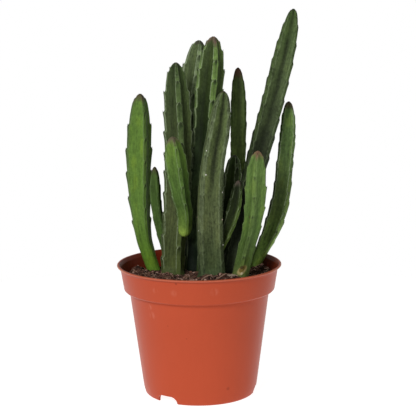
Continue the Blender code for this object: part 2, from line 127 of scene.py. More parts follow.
class Finish(NodeMaker):
    # a material in the making
    def __init__(self, name):
        self.material = bpy.data.materials.new(name)
        super().__init__(self.material)
        self.shader = self.nodes["Principled BSDF"]

    def surface(self, **inputs):
        self.feed(self.shader, {name.replace("_", " "): given for name, given in inputs.items()})

    def place(self):
        # millimetres from the pot's axis
        spot = self.node("ShaderNodeTexCoord", None, None, "Object")
        inputs = {"Vector": spot, "Location": tuple(-potAxis / mm), "Scale": (1 / mm,) * 3}
        return self.node("ShaderNodeMapping", None, inputs)

    def own(self, name, output="Fac"):
        return self.node("ShaderNodeAttribute", {"attribute_name": name}, None, output)

    def stretch(self, vector, scale):
        return self.node("ShaderNodeVectorMath", {"operation": "MULTIPLY"}, {0: vector, 1: scale})

    def cloud(self, vector, size, detail, rough=0.5):
        # noise whose lumps are about size across
        inputs = {"Vector": vector, "Scale": 1 / size, "Detail": detail, "Roughness": rough}
        return self.node("ShaderNodeTexNoise", None, inputs)

    def measure(self, operation, first, second=(0, 0, 0)):
        # one number from one or two vectors
        return self.node("ShaderNodeVectorMath", {"operation": operation}, {0: first, 1: second}, "Value")

    def ramp(self, value, stops):
        return self.node("ShaderNodeValToRGB", {"stops": stops}, {"Fac": value})

    def mix(self, share, first, second, blend="MIX"):
        settings = {"data_type": "RGBA", "blend_type": blend, "clamp_factor": True}
        return self.node("ShaderNodeMix", settings, {0: share, 6: first, 7: second}, 2)

    def plain(self, colour):
        return self.mix(0.0, colour, colour)

    def shade(self, colour, amount):
        # darker where amount is under 1 and lighter where it is over 1
        return self.node("ShaderNodeVectorMath", {"operation": "SCALE"}, {0: colour, "Scale": amount})

    def bump(self, height, strength):
        # height in millimetres
        inputs = {"Height": height, "Strength": strength, "Distance": mm}
        return self.node("ShaderNodeBump", None, inputs)


def meshFrom(name, bm):
    mesh = bpy.data.meshes.new(name)
    bm.to_mesh(mesh)
    bm.free()
    return mesh


def addObject(name, data):
    made = bpy.data.objects.new(name, data)
    bpy.context.collection.objects.link(made)
    return made


def roundEdges(bm, edges, offset, segments):
    bmesh.ops.bevel(
        bm, geom=edges, offset=offset, offset_type="OFFSET", affect="EDGES", segments=segments, profile=0.5,
        material=-1, clamp_overlap=True,
    )


def finishPiece(name, bm, finish, node=None, sharpAngle=None):
    # edges that turn by more than sharpAngle, in degrees, stay sharp
    bmesh.ops.scale(bm, vec=(mm, mm, mm), verts=bm.verts)
    bmesh.ops.translate(bm, vec=potAxis, verts=bm.verts)
    mesh = meshFrom(name, bm)
    mesh.shade_smooth()
    if sharpAngle:
        mesh.set_sharp_from_angle(angle=math.radians(sharpAngle))
    piece = addObject(name, mesh)
    mesh.materials.append(finish.material)
    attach(piece, "root")
    if node:
        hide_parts(node)
    return piece


# Camera: 1 m in front, looking a little down on the lip, with its turns in degrees
camera = {
    "distance": 1000, "height": 308.5, "aside": 6.8, "down": 9.75, "roll": -0.5, "lens": 120.9, "sensor": 36,
}


def makeCamera():
    lens = bpy.data.cameras.new("photoCamera")
    lens.lens = camera["lens"]
    lens.sensor_width = camera["sensor"]
    lens.clip_start = 0.05
    lens.clip_end = 20
    made = addObject("photoCamera", lens)
    tilt = Matrix.Rotation(math.radians(90 - camera["down"]), 4, "X")
    roll = Matrix.Rotation(math.radians(camera["roll"]), 4, "Z")
    place = Vector((camera["aside"], -camera["distance"], camera["height"])) * mm + potAxis
    made.matrix_world = Matrix.Translation(place) @ tilt @ roll
    bpy.context.scene.camera = made


# Studio: a white sweep with pale walls and a dim ceiling, a glowing floor and one soft key light
studio = {
    "front": 0.52, "back": 0.64, "top": 0.2, "below": 0.3,   # brightness of the surroundings
    "fades": [  # axis, where a fade starts and ends, and the brightness that it leads to
        ("Y", -0.5, 0.5, "back"), ("Z", 0.1, 0.8, "top"), ("Z", 0.05, -0.25, "below"),
    ],
    "keyPlace": (-490, -1050, 800), "keyAim": (0, 0, 140), "keySize": 420, "keyPower": 10,
    "floorRadius": 420, "floorColour": 0.35, "floorGlow": 0.93,
}


def makeStudio():
    world = bpy.data.worlds.new("whiteSweep")
    bpy.context.scene.world = world
    sky = NodeMaker(world)
    direction = sky.node("ShaderNodeTexCoord", None, None, "Generated")
    level = studio["front"]
    for axis, low, high, reached in studio["fades"]:
        level = sky.rise(sky.part(direction, axis), low, high, level, studio[reached])
    lit = sky.node("ShaderNodeBackground", None, {"Strength": level})
    white = sky.nodes["Background"]
    sky.feed(white, {"Color": (1, 1, 1)})
    toCamera = sky.node("ShaderNodeLightPath", None, None, "Is Camera Ray")
    seen = sky.node("ShaderNodeMixShader", None, {0: toCamera, 1: lit, 2: Value(sky, white.outputs[0])})
    sky.feed(sky.nodes["World Output"], {"Surface": seen})

    key = bpy.data.lights.new("keyLight", "AREA")
    key.shape = "DISK"
    key.size = studio["keySize"] * mm
    key.energy = studio["keyPower"]
    made = addObject("keyLight", key)
    made.location = Vector(studio["keyPlace"]) * mm
    aim = Vector(studio["keyAim"]) * mm - made.location
    made.rotation_euler = aim.to_track_quat("-Z", "Y").to_euler()

    bm = bmesh.new()
    bmesh.ops.create_circle(bm, cap_ends=True, segments=64, radius=studio["floorRadius"] * mm)
    mesh = meshFrom("paleFloor", bm)
    finish = Finish("paleFloor")
    finish.surface(Base_Color=(studio["floorColour"],) * 3, Roughness=0.8)
    finish.surface(Emission_Color=(1, 1, 1), Emission_Strength=studio["floorGlow"])
    mesh.materials.append(finish.material)
    floor = addObject("paleFloor", mesh)


makeCamera()
makeStudio()
print("studio and camera ready")


# Pot: a moulded wall with a wide band and a flared lip. bandFoot and wallFoot are a radius and a height.
pot = {
    "height": 96.0, "lipRadius": 60.0, "lipDepth": 1.2, "lipEdge": 0.4, "lipFillet": 1.8,
    "bandTopRadius": 58.0, "bandFoot": (55.1, 77.0), "bandEdge": 1.0,
    "wallTopRadius": 51.2, "wallFoot": (42.6, 12.0), "footRadius": 40.6, "footEdge": 1.0,
    "flare": (1.6, 2.4),                   # how far the wall's inner edge opens out, over which height
    "wall": 1.3, "base": 6.0, "floor": 7.3, "floorRadius": 40.3, "ringInner": 38.2,
    "steps": 192, "rounding": 0.18, "sharpAngle": 32,
    "notchWidth": 17.0, "notchHeight": 5.6, "notchCorner": 4.4, "notchTurns": (234, 354, 114),
    "holes": 6, "holeRadius": 4.5, "holeCircle": 26.0,
    "colour": (0.448, 0.067, 0.0252), "roughness": 0.3,
    "scuffed": (0.75, 0.38, 0.28), "lipHighlightColour": (0.80, 0.40, 0.26),   # colours of the scuffs and of the painted highlight on the lip's edge
    "insidePaintedShade": 0.6, "insideFrom": 78,  # how strong the painted shade on the inner wall is, and from which height
    "lipHighlight": 0.16, "sideHighlight": 0.4,      # how strong the painted highlight on the lip's edge is, and how much stronger at the sides
    "sides": (48, 59),                     # from where to where the sides begin
    "paintedGlow": (0.075, 0.008, 0.003),         # painted light: the inner rear wall glows in this colour
    "rear": (38, 50),                      # from where to where the rear wall begins
    "marks": [  # turn, height, size and depth of small stains
        (298, 12.0, 1.8, 0.25), (254, 93.0, 1.0, 0.5), (187, 3.0, 1.8, 0.5), (259, 51.5, 0.7, 0.25),
        (243, 60.0, 0.6, 0.3),
    ],
    "scuffs": [  # turn, height, size and strength of pale rubbed spots
        (237, 86.5, 3.0, 0.11), (252, 86.0, 3.6, 0.08), (281, 87.0, 4.0, 0.1), (206, 5.5, 4.0, 0.25),
        (226, 72.0, 3.0, 0.14), (228, 66.0, 4.0, 0.12),
    ],
}


def bandRadius(height):
    foot = pot["bandFoot"][1] + pot["bandEdge"]
    slope = (pot["bandTopRadius"] - pot["bandFoot"][0]) / (pot["height"] - foot)
    return pot["bandTopRadius"] - slope * (pot["height"] - height)


def bodyProfile():
    # radius and height up the outside, without the lip
    edge, (bandFoot, bandHeight) = pot["bandEdge"], pot["bandFoot"]
    wallFoot, wallHeight = pot["wallFoot"]
    slope = (pot["wallTopRadius"] - wallFoot) / (bandHeight - wallHeight)
    top = pot["height"] - 2 * pot["lipEdge"]
    return [
        (pot["footRadius"] - pot["footEdge"], 0),
        (pot["footRadius"], pot["footEdge"]),
        ((pot["footRadius"] + wallFoot) / 2, wallHeight * 0.4),
        (wallFoot, wallHeight),
        (pot["wallTopRadius"] - slope * edge, bandHeight - edge),
        (pot["wallTopRadius"] + edge, bandHeight),
        (bandFoot - edge, bandHeight),
        (bandFoot, bandHeight + edge),
        (bandRadius(top), top),
    ]


def lipProfile():
    # from the band's face out under the thin lip, round its edge and onto its flat top
    radius, edge, top = pot["lipRadius"], pot["lipEdge"], pot["height"]
    underside = top - pot["lipDepth"]
    return [
        (bandRadius(underside - pot["lipFillet"]), underside - pot["lipFillet"]),
        (bandRadius(underside) + edge, underside - edge),
        (radius - edge, underside),
        (radius, underside + edge),
        (radius, top - edge),
        (radius - edge, top),
    ]


def offsetProfile(profile, distance):
    # the same profile moved inwards, with its corners kept
    points = [Vector(point) for point in profile]
    last = len(points) - 1
    moved = []
    for number, point in enumerate(points):
        after = (points[min(number + 1, last)] - points[min(number, last - 1)]).normalized()
        before = (points[max(number, 1)] - points[max(number - 1, 0)]).normalized()
        halfway = (before + after).normalized()
        reach = distance / halfway.dot(after)
        moved.append((point.x - reach * halfway.y, point.y + reach * halfway.x))
    return moved


def polar(radius, turn, height=0.0):
    # turn 0 is to the viewer's right and 90 away from the viewer
    angle = math.radians(turn)
    return Vector((radius * math.cos(angle), radius * math.sin(angle), height))


def potPlastic():
    finish = Finish("potPlastic")
    place = finish.place()
    aside, behind, height = (finish.part(place, axis) for axis in "XYZ")
    radius = finish.measure("LENGTH", finish.stretch(place, (1, 1, 0)))
    broad = finish.cloud(place, 38.0, 2.0)
    fine = finish.cloud(finish.stretch(place, (1.0, 1.0, 0.18)), 3.2, 4.0, 0.6)
    peel = finish.cloud(place, 0.9, 2.0)
    colour = finish.shade(finish.plain(pot["colour"]), 0.93 + 0.1 * broad + 0.05 * fine)
    rough = pot["roughness"] + 0.08 * fine + 0.05 * broad
    for turn, level, size, depth in pot["marks"]:
        far = spotDistance(finish, place, turn, level)
        colour = finish.shade(colour, 1 - depth * finish.fall(far, size * 0.3, size))
    for turn, level, size, strength in pot["scuffs"]:
        far = spotDistance(finish, place, turn, level) + 2.4 * (fine - 0.5)
        rubbed = strength * finish.fall(far, size * 0.3, size) * finish.rise(fine, 0.38, 0.6)
        colour = finish.mix(rubbed, colour, pot["scuffed"])
        rough = rough + 0.2 * rubbed

    # painted shade on the inner wall and its flare
    top, slope = pot["height"], bandRadius(1) - bandRadius(0)
    flare, depth = pot["flare"]
    within = bandRadius(top) + slope * (height - top) - radius
    fromFlare = radius + (top - height) * (flare / depth) - (bandRadius(top) - pot["wall"] + flare)
    onFlare = finish.fall(fromFlare, 0.1, 0.4) * finish.rise(height, top - depth - 0.2, top - depth + 0.2)
    onWall = finish.rise(within, 0.4, 0.8) * finish.rise(height, pot["insideFrom"], pot["insideFrom"] + 1)
    inside = onFlare.math("MAXIMUM", onFlare, onWall)
    colour = finish.shade(colour, 1 - pot["insidePaintedShade"] * inside)

    # painted highlight on the lip's edge and painted shade under the lip
    onLip = finish.rise(radius, pot["lipRadius"] - 0.8, pot["lipRadius"] - 0.4)
    onLip = onLip * finish.rise(height, top - 1.4, top - 1.0)
    highlight = pot["lipHighlight"] + pot["sideHighlight"] * finish.rise(abs(aside), *pot["sides"])
    colour = finish.mix(highlight * onLip, colour, pot["lipHighlightColour"])
    # painted shade: a thin dark band just under the lip
    underLip = finish.rise(height, top - 3.0, top - 2.4) * finish.fall(height, top - 1.8, top - 1.4)
    colour = finish.shade(colour, 1 - 0.12 * underLip * finish.fall(within, 0.2, 0.4))

    finish.surface(Base_Color=colour, Roughness=rough, Normal=finish.bump(0.05 * peel + 0.10 * fine, 0.35))
    # painted light: the inner rear wall glows, more towards the back
    paintedGlow = finish.shade(finish.plain(pot["paintedGlow"]), inside * finish.rise(behind, *pot["rear"]))
    finish.surface(Specular_IOR_Level=0.12, Emission_Color=paintedGlow, Emission_Strength=1.0)
    return finish


def spotDistance(finish, place, turn, height):
    return finish.measure("DISTANCE", place, tuple(polar(wallRadius(height), turn, height)))


def wallRadius(height):
    profile = bodyProfile()
    for (lowRadius, low), (highRadius, high) in zip(profile, profile[1:]):
        if low <= height <= high and high > low:
            return lowRadius + (highRadius - lowRadius) * (height - low) / (high - low)
    return pot["lipRadius"]


def makePot():
    body = bodyProfile()
    inner = [point for point in offsetProfile(body, pot["wall"]) if point[1] > pot["floor"]]
    profile = [(0, pot["base"]), (pot["ringInner"], pot["base"]), (pot["ringInner"], 0)]
    profile += body[:-1] + lipProfile()
    (flare, depth), innerTop = pot["flare"], inner[-1][0]
    profile += [(innerTop + flare, pot["height"]), (innerTop, pot["height"] - depth)] + inner[-2::-1]
    profile += [(pot["floorRadius"], pot["floor"]), (0, pot["floor"])]
    bm = bmesh.new()
    chain = [bm.verts.new((radius, 0, height)) for radius, height in profile]
    edges = [bm.edges.new(pair) for pair in zip(chain, chain[1:])]
    bmesh.ops.spin(
        bm, geom=chain + edges, cent=(0, 0, 0), axis=(0, 0, 1), dvec=(0, 0, 0), angle=math.tau,
        steps=pot["steps"], use_merge=True, use_duplicate=False,
    )
    bmesh.ops.remove_doubles(bm, verts=bm.verts, dist=0.001)
    bmesh.ops.recalc_face_normals(bm, faces=bm.faces)
    roundEdges(bm, [edge for edge in bm.edges if isCorner(edge)], pot["rounding"], 2)
    shell = finishPiece("potShell", bm, potPlastic(), "pot", pot["sharpAngle"])
    cutDrainage(shell)
    print("pot shell:", len(shell.data.polygons), "faces")


def isCorner(edge):
    # a short level edge round the pot, where its profile turns by more than 9 degrees
    first, second = (vert.co for vert in edge.verts)
    far = min(math.hypot(first.x, first.y), math.hypot(second.x, second.y))
    level = far > 1 and abs(first.z - second.z) < 0.001 and edge.calc_length() < 4
    return level and edge.is_manifold and edge.calc_face_angle(0) > math.radians(9)


def cutDrainage(shell):
    reach = 4                              # how far a cutting block goes past the foot ring
    inside, outside = pot["ringInner"] - reach, pot["wallFoot"][0] + reach
    bm = bmesh.new()
    for turn in pot["notchTurns"]:
        outward, across = polar(1, turn), polar(1, turn + 90)
        block = bmesh.ops.create_cube(bm, size=1)["verts"]
        for vert in block:
            radius = inside if vert.co.x < 0 else outside
            height = pot["notchHeight"] if vert.co.z > 0 else -reach
            vert.co = outward * radius + across * vert.co.y * pot["notchWidth"] + Vector((0, 0, height))
        bm.normal_update()
        edges = [edge for edge in bm.edges if set(edge.verts) <= set(block)]
        roundEdges(bm, [edge for edge in edges if isNotchCorner(edge, outward)], pot["notchCorner"], 6)
    for number in range(pot["holes"]):
        middle = polar(pot["holeCircle"], 360 * number / pot["holes"], (pot["base"] + pot["floor"]) / 2)
        bmesh.ops.create_cone(
            bm, cap_ends=True, segments=40, radius1=pot["holeRadius"], radius2=pot["holeRadius"], depth=6,
            matrix=Matrix.Translation(middle),
        )
    bmesh.ops.recalc_face_normals(bm, faces=bm.faces)
    cutter = finishPiece("drainageCutter", bm, Finish("cutter"))
    boolean = shell.modifiers.new("drainage", "BOOLEAN")
    boolean.operation = "DIFFERENCE"
    boolean.solver = "EXACT"
    boolean.object = cutter
    bpy.context.view_layer.update()
    cut = bpy.data.meshes.new_from_object(shell.evaluated_get(bpy.context.evaluated_depsgraph_get()))
    shell.modifiers.clear()
    shell.data = cut
    cut.shade_smooth()
    cut.set_sharp_from_angle(angle=math.radians(pot["sharpAngle"]))
    bpy.data.objects.remove(cutter)


def isNotchCorner(edge, outward):
    first, second = edge.verts
    along = (first.co - second.co).normalized()
    return abs(along.dot(outward)) > 0.99 and first.co.z > 0


makePot()

# Stems: the seed of a stem's teeth, the turn of its first rib at its foot and at its tip (0 to the viewer's
# right, 90 towards the viewer), and the lengths of its tapering tip and of its round, toothless foot. Then
# a crest's width in degrees, a groove's depth as a share of the rib's radius, how far teeth stand out, the
# distance from the tip to the first tooth, the pair of ribs that it is on, and the spacing of a rib's
# teeth. Route: x, y, height and rib radius. Colours: of the faces from foot to tip, and of the crests. How
# strongly the crests, their margin lines (partly painted highlight), the painted shade in the hollows under
# the teeth and the painted shade along the grooves show. The tip's colour, its length on a crest, and how
# much shorter it is in the grooves. Marks: length from the foot, turn, width, height, slant and colour.
paleDot = (0.75, 0.72, 0.66)
brownScar = (0.1, 0.06, 0.03)
stems = {
    "leftStem": {
        "node": "left_stem", "slot": "bright_stem", "seed": 0, "turns": (60, 60), "taper": 58, "bare": 36,
        "crestWidth": 14, "groove": 0.31, "toothSize": 1.0, "firstTooth": 14, "spacing": 17,
        "route": [
            (-34.3, 27, 85, 5.0), (-38.3, 27.2, 98, 5.5), (-41.6, 27.4, 112, 6.3), (-44.0, 27.8, 138, 8.3),
            (-44.2, 28.2, 166, 9.9), (-43.4, 28.6, 192, 10.2), (-42.5, 29, 217.5, 10.4),
        ],
        "face": [(0, (0.128, 0.26, 0.024)), (0.3, (0.108, 0.2, 0.034)), (0.9, (0.113, 0.208, 0.034))],
        "crest": (0.075, 0.115, 0.04), "crestShare": 0.6, "margin": 0.2, "paintedHollowShade": 0.6, "groovePaintedShade": 0.05,
        "tip": (0.1, 0.07, 0.045), "tipLength": 7, "tipSpread": 1.2, "grain": 0.9, "rightPaintedLight": 0.45,
    },
    "forkedStem": {
        "node": "forked_stem", "slot": "dark_stem", "seed": 1, "turns": (60, 84), "taper": 50, "bare": 8,
        "crestWidth": 24, "groove": 0.36, "toothSize": 1.0, "firstTooth": 7.3, "firstPair": 1,
        "route": [
            (-19.5, 5, 86.5, 8.8), (-18.6, 5.3, 108, 9.0), (-16.2, 6, 140, 9.4), (-14.6, 6.6, 171, 9.8),
            (-14.5, 7, 195, 9.8), (-15.1, 7.5, 222, 9.8), (-15.5, 8, 241.7, 9.8),
        ],
        "face": [(0, (0.075, 0.1, 0.03)), (0.35, (0.066, 0.082, 0.03)), (1, (0.038, 0.06, 0.019))],
        "crest": (0.1, 0.155, 0.05), "crestShare": 0.75, "margin": 1.0, "paintedHollowShade": 0.55, "groovePaintedShade": 0.2,
        "tip": (0.1, 0.09, 0.06), "tipLength": 2.4, "tipSpread": 1.0, "grain": 1.2, "rightPaintedLight": 0.8,
    },
    "rearTallStem": {
        "node": "rear_tall_stem", "slot": "dark_stem", "seed": 2, "turns": (78, 78), "taper": 50, "bare": 12,
        "crestWidth": 26, "groove": 0.38, "toothSize": 1.0, "firstTooth": 3.8, "firstPair": 1,
        "route": [
            (-16.2, 33, 86, 8.0), (-13.0, 34.5, 125, 9.0), (-9.3, 36.5, 174, 9.8), (-5.2, 38.1, 212, 10.2),
            (-1.0, 39.3, 239, 10.4), (1.5, 40, 255.8, 10.4),
        ],
        "face": [(0, (0.046, 0.074, 0.021)), (0.6, (0.058, 0.082, 0.03)), (1, (0.109, 0.149, 0.059))],
        "crest": (0.25, 0.331, 0.163), "crestShare": 0.85, "margin": 1.8, "paintedHollowShade": 0.55,
        "groovePaintedShade": 0.2, "tip": (0.06, 0.055, 0.04), "tipLength": 1.2, "tipSpread": -1.5, "grain": 1.3,
    },
    "middleTallStem": {
        "node": "middle_tall_stem", "slot": "dark_stem", "seed": 3, "turns": (71, 71), "taper": 48,
        "bare": 12, "crestWidth": 26, "groove": 0.37, "toothSize": 1.0, "firstTooth": 10.5, "firstPair": 1,
        "route": [
            (-2.6, 16, 87.3, 8.4), (1.3, 16.6, 140, 9.4), (6.1, 17.2, 193, 9.9), (7.9, 17.5, 216, 10.1),
            (10.2, 17.8, 238, 10.3), (11.9, 18, 259.6, 10.4),
        ],
        # painted light between 0.16 and 0.41 of its length, where the stem in front casts its shadow, and
        # painted shade at its foot
        "face": [
            (0, (0.004, 0.008, 0.004)), (0.1, (0.007, 0.013, 0.0065)), (0.16, (0.085, 0.135, 0.06)),
            (0.33, (0.11, 0.165, 0.068)), (0.41, (0.08, 0.13, 0.052)), (0.48, (0.02, 0.034, 0.0122)),
            (0.6, (0.0185, 0.031, 0.0095)), (1, (0.058, 0.088, 0.024)),
        ],
        "crest": (0.2, 0.32, 0.085), "crestShare": 0.8, "margin": 1.1, "paintedHollowShade": 0.8, "groovePaintedShade": 0.3,
        "tip": (0.21, 0.12, 0.105), "tipLength": 8, "tipSpread": 3.0, "grain": 1.2, "rightPaintedLight": 1.0,
    },
    "frontStem": {
        "node": "front_stem", "slot": "grey_green_stem", "seed": 4, "turns": (40, 40), "taper": 40, "bare": 8,
        "crestWidth": 22, "groove": 0.37, "toothSize": 0.35, "firstTooth": 11.5, "firstPair": 1,
        "spacing": 12.5,
        "route": [
            (9.3, -12, 87.7, 11.0), (8.5, -11.6, 106, 10.8), (8.0, -11.2, 124, 10.8), (8.3, -10.8, 143, 10.3),
            (9.3, -10.4, 160, 9.8), (11.6, -10, 178, 9.3), (15.1, -9.6, 196, 9.2), (18.8, -9, 222.2, 9.2),
        ],
        "face": [(0, (0.048, 0.076, 0.03)), (0.3, (0.085, 0.107, 0.042)), (1, (0.082, 0.118, 0.038))],
        "crest": (0.14, 0.175, 0.095), "crestShare": 0.6, "margin": 0.15, "paintedHollowShade": 0.1,
        "groovePaintedShade": 0.75, "tip": (0.07, 0.028, 0.026), "tipLength": 3.2, "tipSpread": 1.6, "grain": 1.5,
        "flecks": 0.15, "rightPaintedLight": 0.1,
        "marks": [
            (91.7, 129, 0.9, 0.9, 0, paleDot), (75.7, 117, 0.9, 0.9, 0, paleDot),
            (62.9, 33, 1.2, 1.1, 0, paleDot), (43.5, 32, 1.2, 1.1, 0, (0.8, 0.62, 0.5)),
            (35.2, 141, 0.9, 0.9, 0, paleDot), (26.2, 18, 0.9, 0.9, 0, paleDot),
            (24.4, 33, 1.0, 0.9, 0, paleDot),
        ],
    },
    "thinRearStem": {
        "node": "thin_rear_stem", "slot": "dark_stem", "seed": 5, "turns": (45, 45), "taper": 45, "bare": 12,
        "crestWidth": 18, "groove": 0.36, "toothSize": 0.7, "firstTooth": 10,
        "route": [
            (27.2, 36.5, 86.3, 5.4), (28.9, 39, 130, 6.2), (29.8, 40.7, 168, 6.8), (30.3, 42, 205, 7.2),
            (30.0, 43, 235.2, 7.2),
        ],
        "face": [
            (0, (0.1, 0.15, 0.04)), (0.58, (0.115, 0.165, 0.045)), (0.64, (0.1, 0.143, 0.04)),
            (0.68, (0.083, 0.122, 0.034)), (0.73, (0.07, 0.105, 0.029)), (0.79, (0.05, 0.075, 0.02)),
            (1, (0.048, 0.072, 0.019)),
        ],
        "crest": (0.06, 0.1, 0.02), "crestShare": 0.7, "margin": 0.1, "paintedHollowShade": 0.2, "groovePaintedShade": 0.35,
        "tip": (0.06, 0.022, 0.014), "tipLength": 9, "tipSpread": 0.8, "rightPaintedLight": 0.8,
    },
    "shortRearStem": {
        "node": "short_rear_stem", "slot": "dark_stem", "seed": 6, "turns": (63, 63), "taper": 30, "bare": 10,
        "crestWidth": 30, "groove": 0.4, "toothSize": 0.8, "firstTooth": 9, "spacing": 10,
        "route": [
            (19.2, 27, 86.8, 5.0), (21.0, 26.4, 112, 5.9), (22.9, 25.9, 137, 6.8), (25.2, 25.4, 156, 7.3),
            (26.7, 25, 172, 7.4),
        ],
        "face": [
            (0, (0.03, 0.045, 0.015)), (0.55, (0.05, 0.075, 0.025)), (0.75, (0.083, 0.125, 0.038)),
            (1, (0.083, 0.132, 0.04)),
        ],
        "crest": (0.135, 0.18, 0.081), "crestShare": 0.9, "margin": 1.7, "paintedHollowShade": 0.5, "groovePaintedShade": 0.2,
        "tip": (0.12, 0.12, 0.09), "tipLength": 2, "tipSpread": 0.5, "rightPaintedLight": 0.8, "lineWidth": 0.24,
        "lineGain": 1.9,
    },
    "tallestStem": {
        "node": "tallest_stem", "slot": "grey_green_stem", "seed": 7, "turns": (45, 45), "taper": 55,
        "bare": 10, "crestWidth": 18, "groove": 0.37, "toothSize": 0.8, "firstTooth": 12, "spacing": 13.5,
        "route": [
            (23.4, 7, 87.7, 8.2), (30.2, 8.5, 121, 8.9), (35.4, 9.5, 141, 9.3), (45.7, 11.3, 180, 9.5),
            (53.0, 12.6, 207, 9.5), (61.3, 14.1, 240, 9.3), (66.6, 15.2, 262.5, 9.2), (69.8, 16, 279, 9.2),
        ],
        "face": [
            (0, (0.055, 0.07, 0.04)), (0.08, (0.045, 0.06, 0.033)), (0.16, (0.02, 0.028, 0.014)),
            (0.26, (0.0065, 0.0095, 0.0042)), (0.35, (0.0072, 0.0103, 0.0045)), (0.5, (0.025, 0.035, 0.015)),
            (0.65, (0.063, 0.089, 0.034)), (0.8, (0.076, 0.11, 0.04)), (1, (0.066, 0.108, 0.03)),
        ],
        "crest": (0.1, 0.15, 0.05), "crestShare": 0.6, "margin": 0.3, "paintedHollowShade": 0.3, "groovePaintedShade": 0.55,
        "tip": (0.03, 0.03, 0.022), "tipLength": 4, "tipSpread": 1.6, "grain": 1.3, "flecks": 0.1,
        "rightPaintedLight": 0.2,
    },
    "shortFrontStem": {
        "node": "short_front_stem", "slot": "bright_stem", "seed": 8, "turns": (99, 99), "taper": 35,
        "bare": 16, "crestWidth": 24, "groove": 0.33, "toothSize": 0.7, "firstTooth": 12, "firstPair": 1,
        "route": [
            (29.5, -13, 87.6, 6.1), (33.5, -13.2, 106, 5.9), (38.0, -13.4, 124, 6.3), (40.6, -13.6, 143, 7.3),
            (41.3, -13.8, 162, 7.5), (42.7, -14, 180, 7.5),
        ],
        "face": [
            (0, (0.12, 0.15, 0.046)), (0.12, (0.095, 0.155, 0.038)), (0.4, (0.088, 0.156, 0.035)),
            (1, (0.15, 0.25, 0.064)),
        ],
        "crest": (0.12, 0.18, 0.05), "crestShare": 0.4, "margin": 0.2, "paintedHollowShade": 0.2, "groovePaintedShade": 0.1,
        "tip": (0.24, 0.12, 0.085), "tipLength": 6, "tipSpread": 1.4,
        "marks": [
            (45.7, 123, 1.2, 2.0, 0, brownScar), (42.1, 120, 1.0, 1.6, 0, brownScar),
            (6.4, 91, 5.0, 9.2, 35, (0.42, 0.34, 0.14)), (7.3, 92, 3.4, 6.6, 35, (0.2, 0.145, 0.035)),
            (4.3, 88.5, 1.8, 2.2, 35, (0.65, 0.58, 0.36)), (9.0, 96, 2.6, 3.0, 35, (0.08, 0.06, 0.02)),
        ],
    },
    "bentRightStem": {
        "node": "bent_right_stem", "slot": "bright_stem", "seed": 9, "turns": (65, 45), "taper": 35,
        "bare": 24, "crestWidth": 16, "groove": 0.34, "toothSize": 0.8, "firstTooth": 10,
        "route": [
            (39.8, 21, 86.8, 4.9), (44.5, 21.3, 96.5, 5.1), (49.2, 21.4, 106, 6.0), (53.9, 21.5, 116, 7.1),
            (58.2, 21.6, 129, 7.9), (61.7, 21.8, 145, 7.5), (63.7, 22, 165, 7.3), (65.8, 22, 187, 7.2),
            (66.7, 22, 211.6, 7.2),
        ],
        "face": [
            (0, (0.15, 0.26, 0.045)), (0.2, (0.115, 0.19, 0.04)), (0.38, (0.07, 0.108, 0.028)),
            (0.55, (0.06, 0.094, 0.028)), (0.8, (0.083, 0.142, 0.04)), (1, (0.115, 0.2, 0.055)),
        ],
        "crest": (0.08, 0.13, 0.04), "crestShare": 0.5, "margin": 1.0, "paintedHollowShade": 0.3, "groovePaintedShade": 0.15,
        "tip": (0.1, 0.045, 0.04), "tipLength": 7, "tipSpread": 1.8, "grain": 1.3, "rightPaintedLight": 0.7,
        "marks": [(80.0, 156, 0.9, 0.9, 0, paleDot), (50.0, 12, 8.0, 30.0, 0, (0.14, 0.22, 0.04))],
    },
    "brightShoot": {
        "slot": "dark_stem", "seed": 20, "turns": (70, 70), "taper": 30, "bare": 16, "crestWidth": 20,
        "groove": 0.33, "toothSize": 0.8, "firstTooth": 8, "spacing": 13,
        "route": [
            (-11.0, 0.4, 116, 4.8), (-10.0, -2.6, 124, 5.1), (-10.2, -6.2, 136, 5.7),
            (-12.4, -9.2, 147.5, 6.4), (-15.0, -13.0, 166.5, 7.7), (-18.2, -18, 191, 8.0),
        ],
        # painted light: its foot, whose rounded end faces down, is brightened
        "face": [
            (0, (0.42, 0.6, 0.1)), (0.14, (0.13, 0.215, 0.038)), (0.34, (0.07, 0.13, 0.025)),
            (0.6, (0.078, 0.145, 0.027)), (1, (0.132, 0.228, 0.037)),
        ],
        "crest": (0.12, 0.21, 0.045), "crestShare": 0.4, "margin": 0.6, "paintedHollowShade": 0.25, "groovePaintedShade": 0.15,
        "tip": (0.13, 0.09, 0.07), "tipLength": 6, "tipSpread": 1.4,
    },
    "backShoot": {
        "slot": "dark_stem", "seed": 21, "turns": (60, 60), "taper": 30, "bare": 14, "crestWidth": 18,
        "groove": 0.34, "toothSize": 0.7, "firstTooth": 9, "spacing": 11,
        "route": [
            (-22.4, 8.6, 97, 3.6), (-25.4, 10.8, 109, 3.8), (-28.7, 12, 121, 3.8), (-31.4, 13.6, 139, 4.2),
            (-31.9, 14.8, 152, 4.5), (-32.1, 15.6, 165, 4.5),
        ],
        "face": [(0, (0.055, 0.11, 0.0189)), (1, (0.06, 0.11, 0.022))],
        "crest": (0.07, 0.12, 0.03), "crestShare": 0.4, "margin": 0.2, "paintedHollowShade": 0.2, "groovePaintedShade": 0.1,
        "tip": (0.05, 0.03, 0.02), "tipLength": 6, "tipSpread": 1.0,
    },
    "sideShoot": {
        "slot": "grey_green_stem", "seed": 22, "turns": (50, 50), "taper": 35, "bare": 14, "crestWidth": 26,
        "groove": 0.36, "toothSize": 0.7, "firstTooth": 8, "spacing": 11,
        "route": [
            (11.5, -7.0, 99, 4.2), (15.4, -5.8, 111, 4.9), (19.8, -6.2, 121.5, 5.7), (24.0, -7.2, 133, 6.0),
            (26.6, -8, 143, 6.0), (28.9, -9, 158, 6.0),
        ],
        "face": [(0, (0.03, 0.045, 0.009)), (1, (0.013, 0.021, 0.006))],
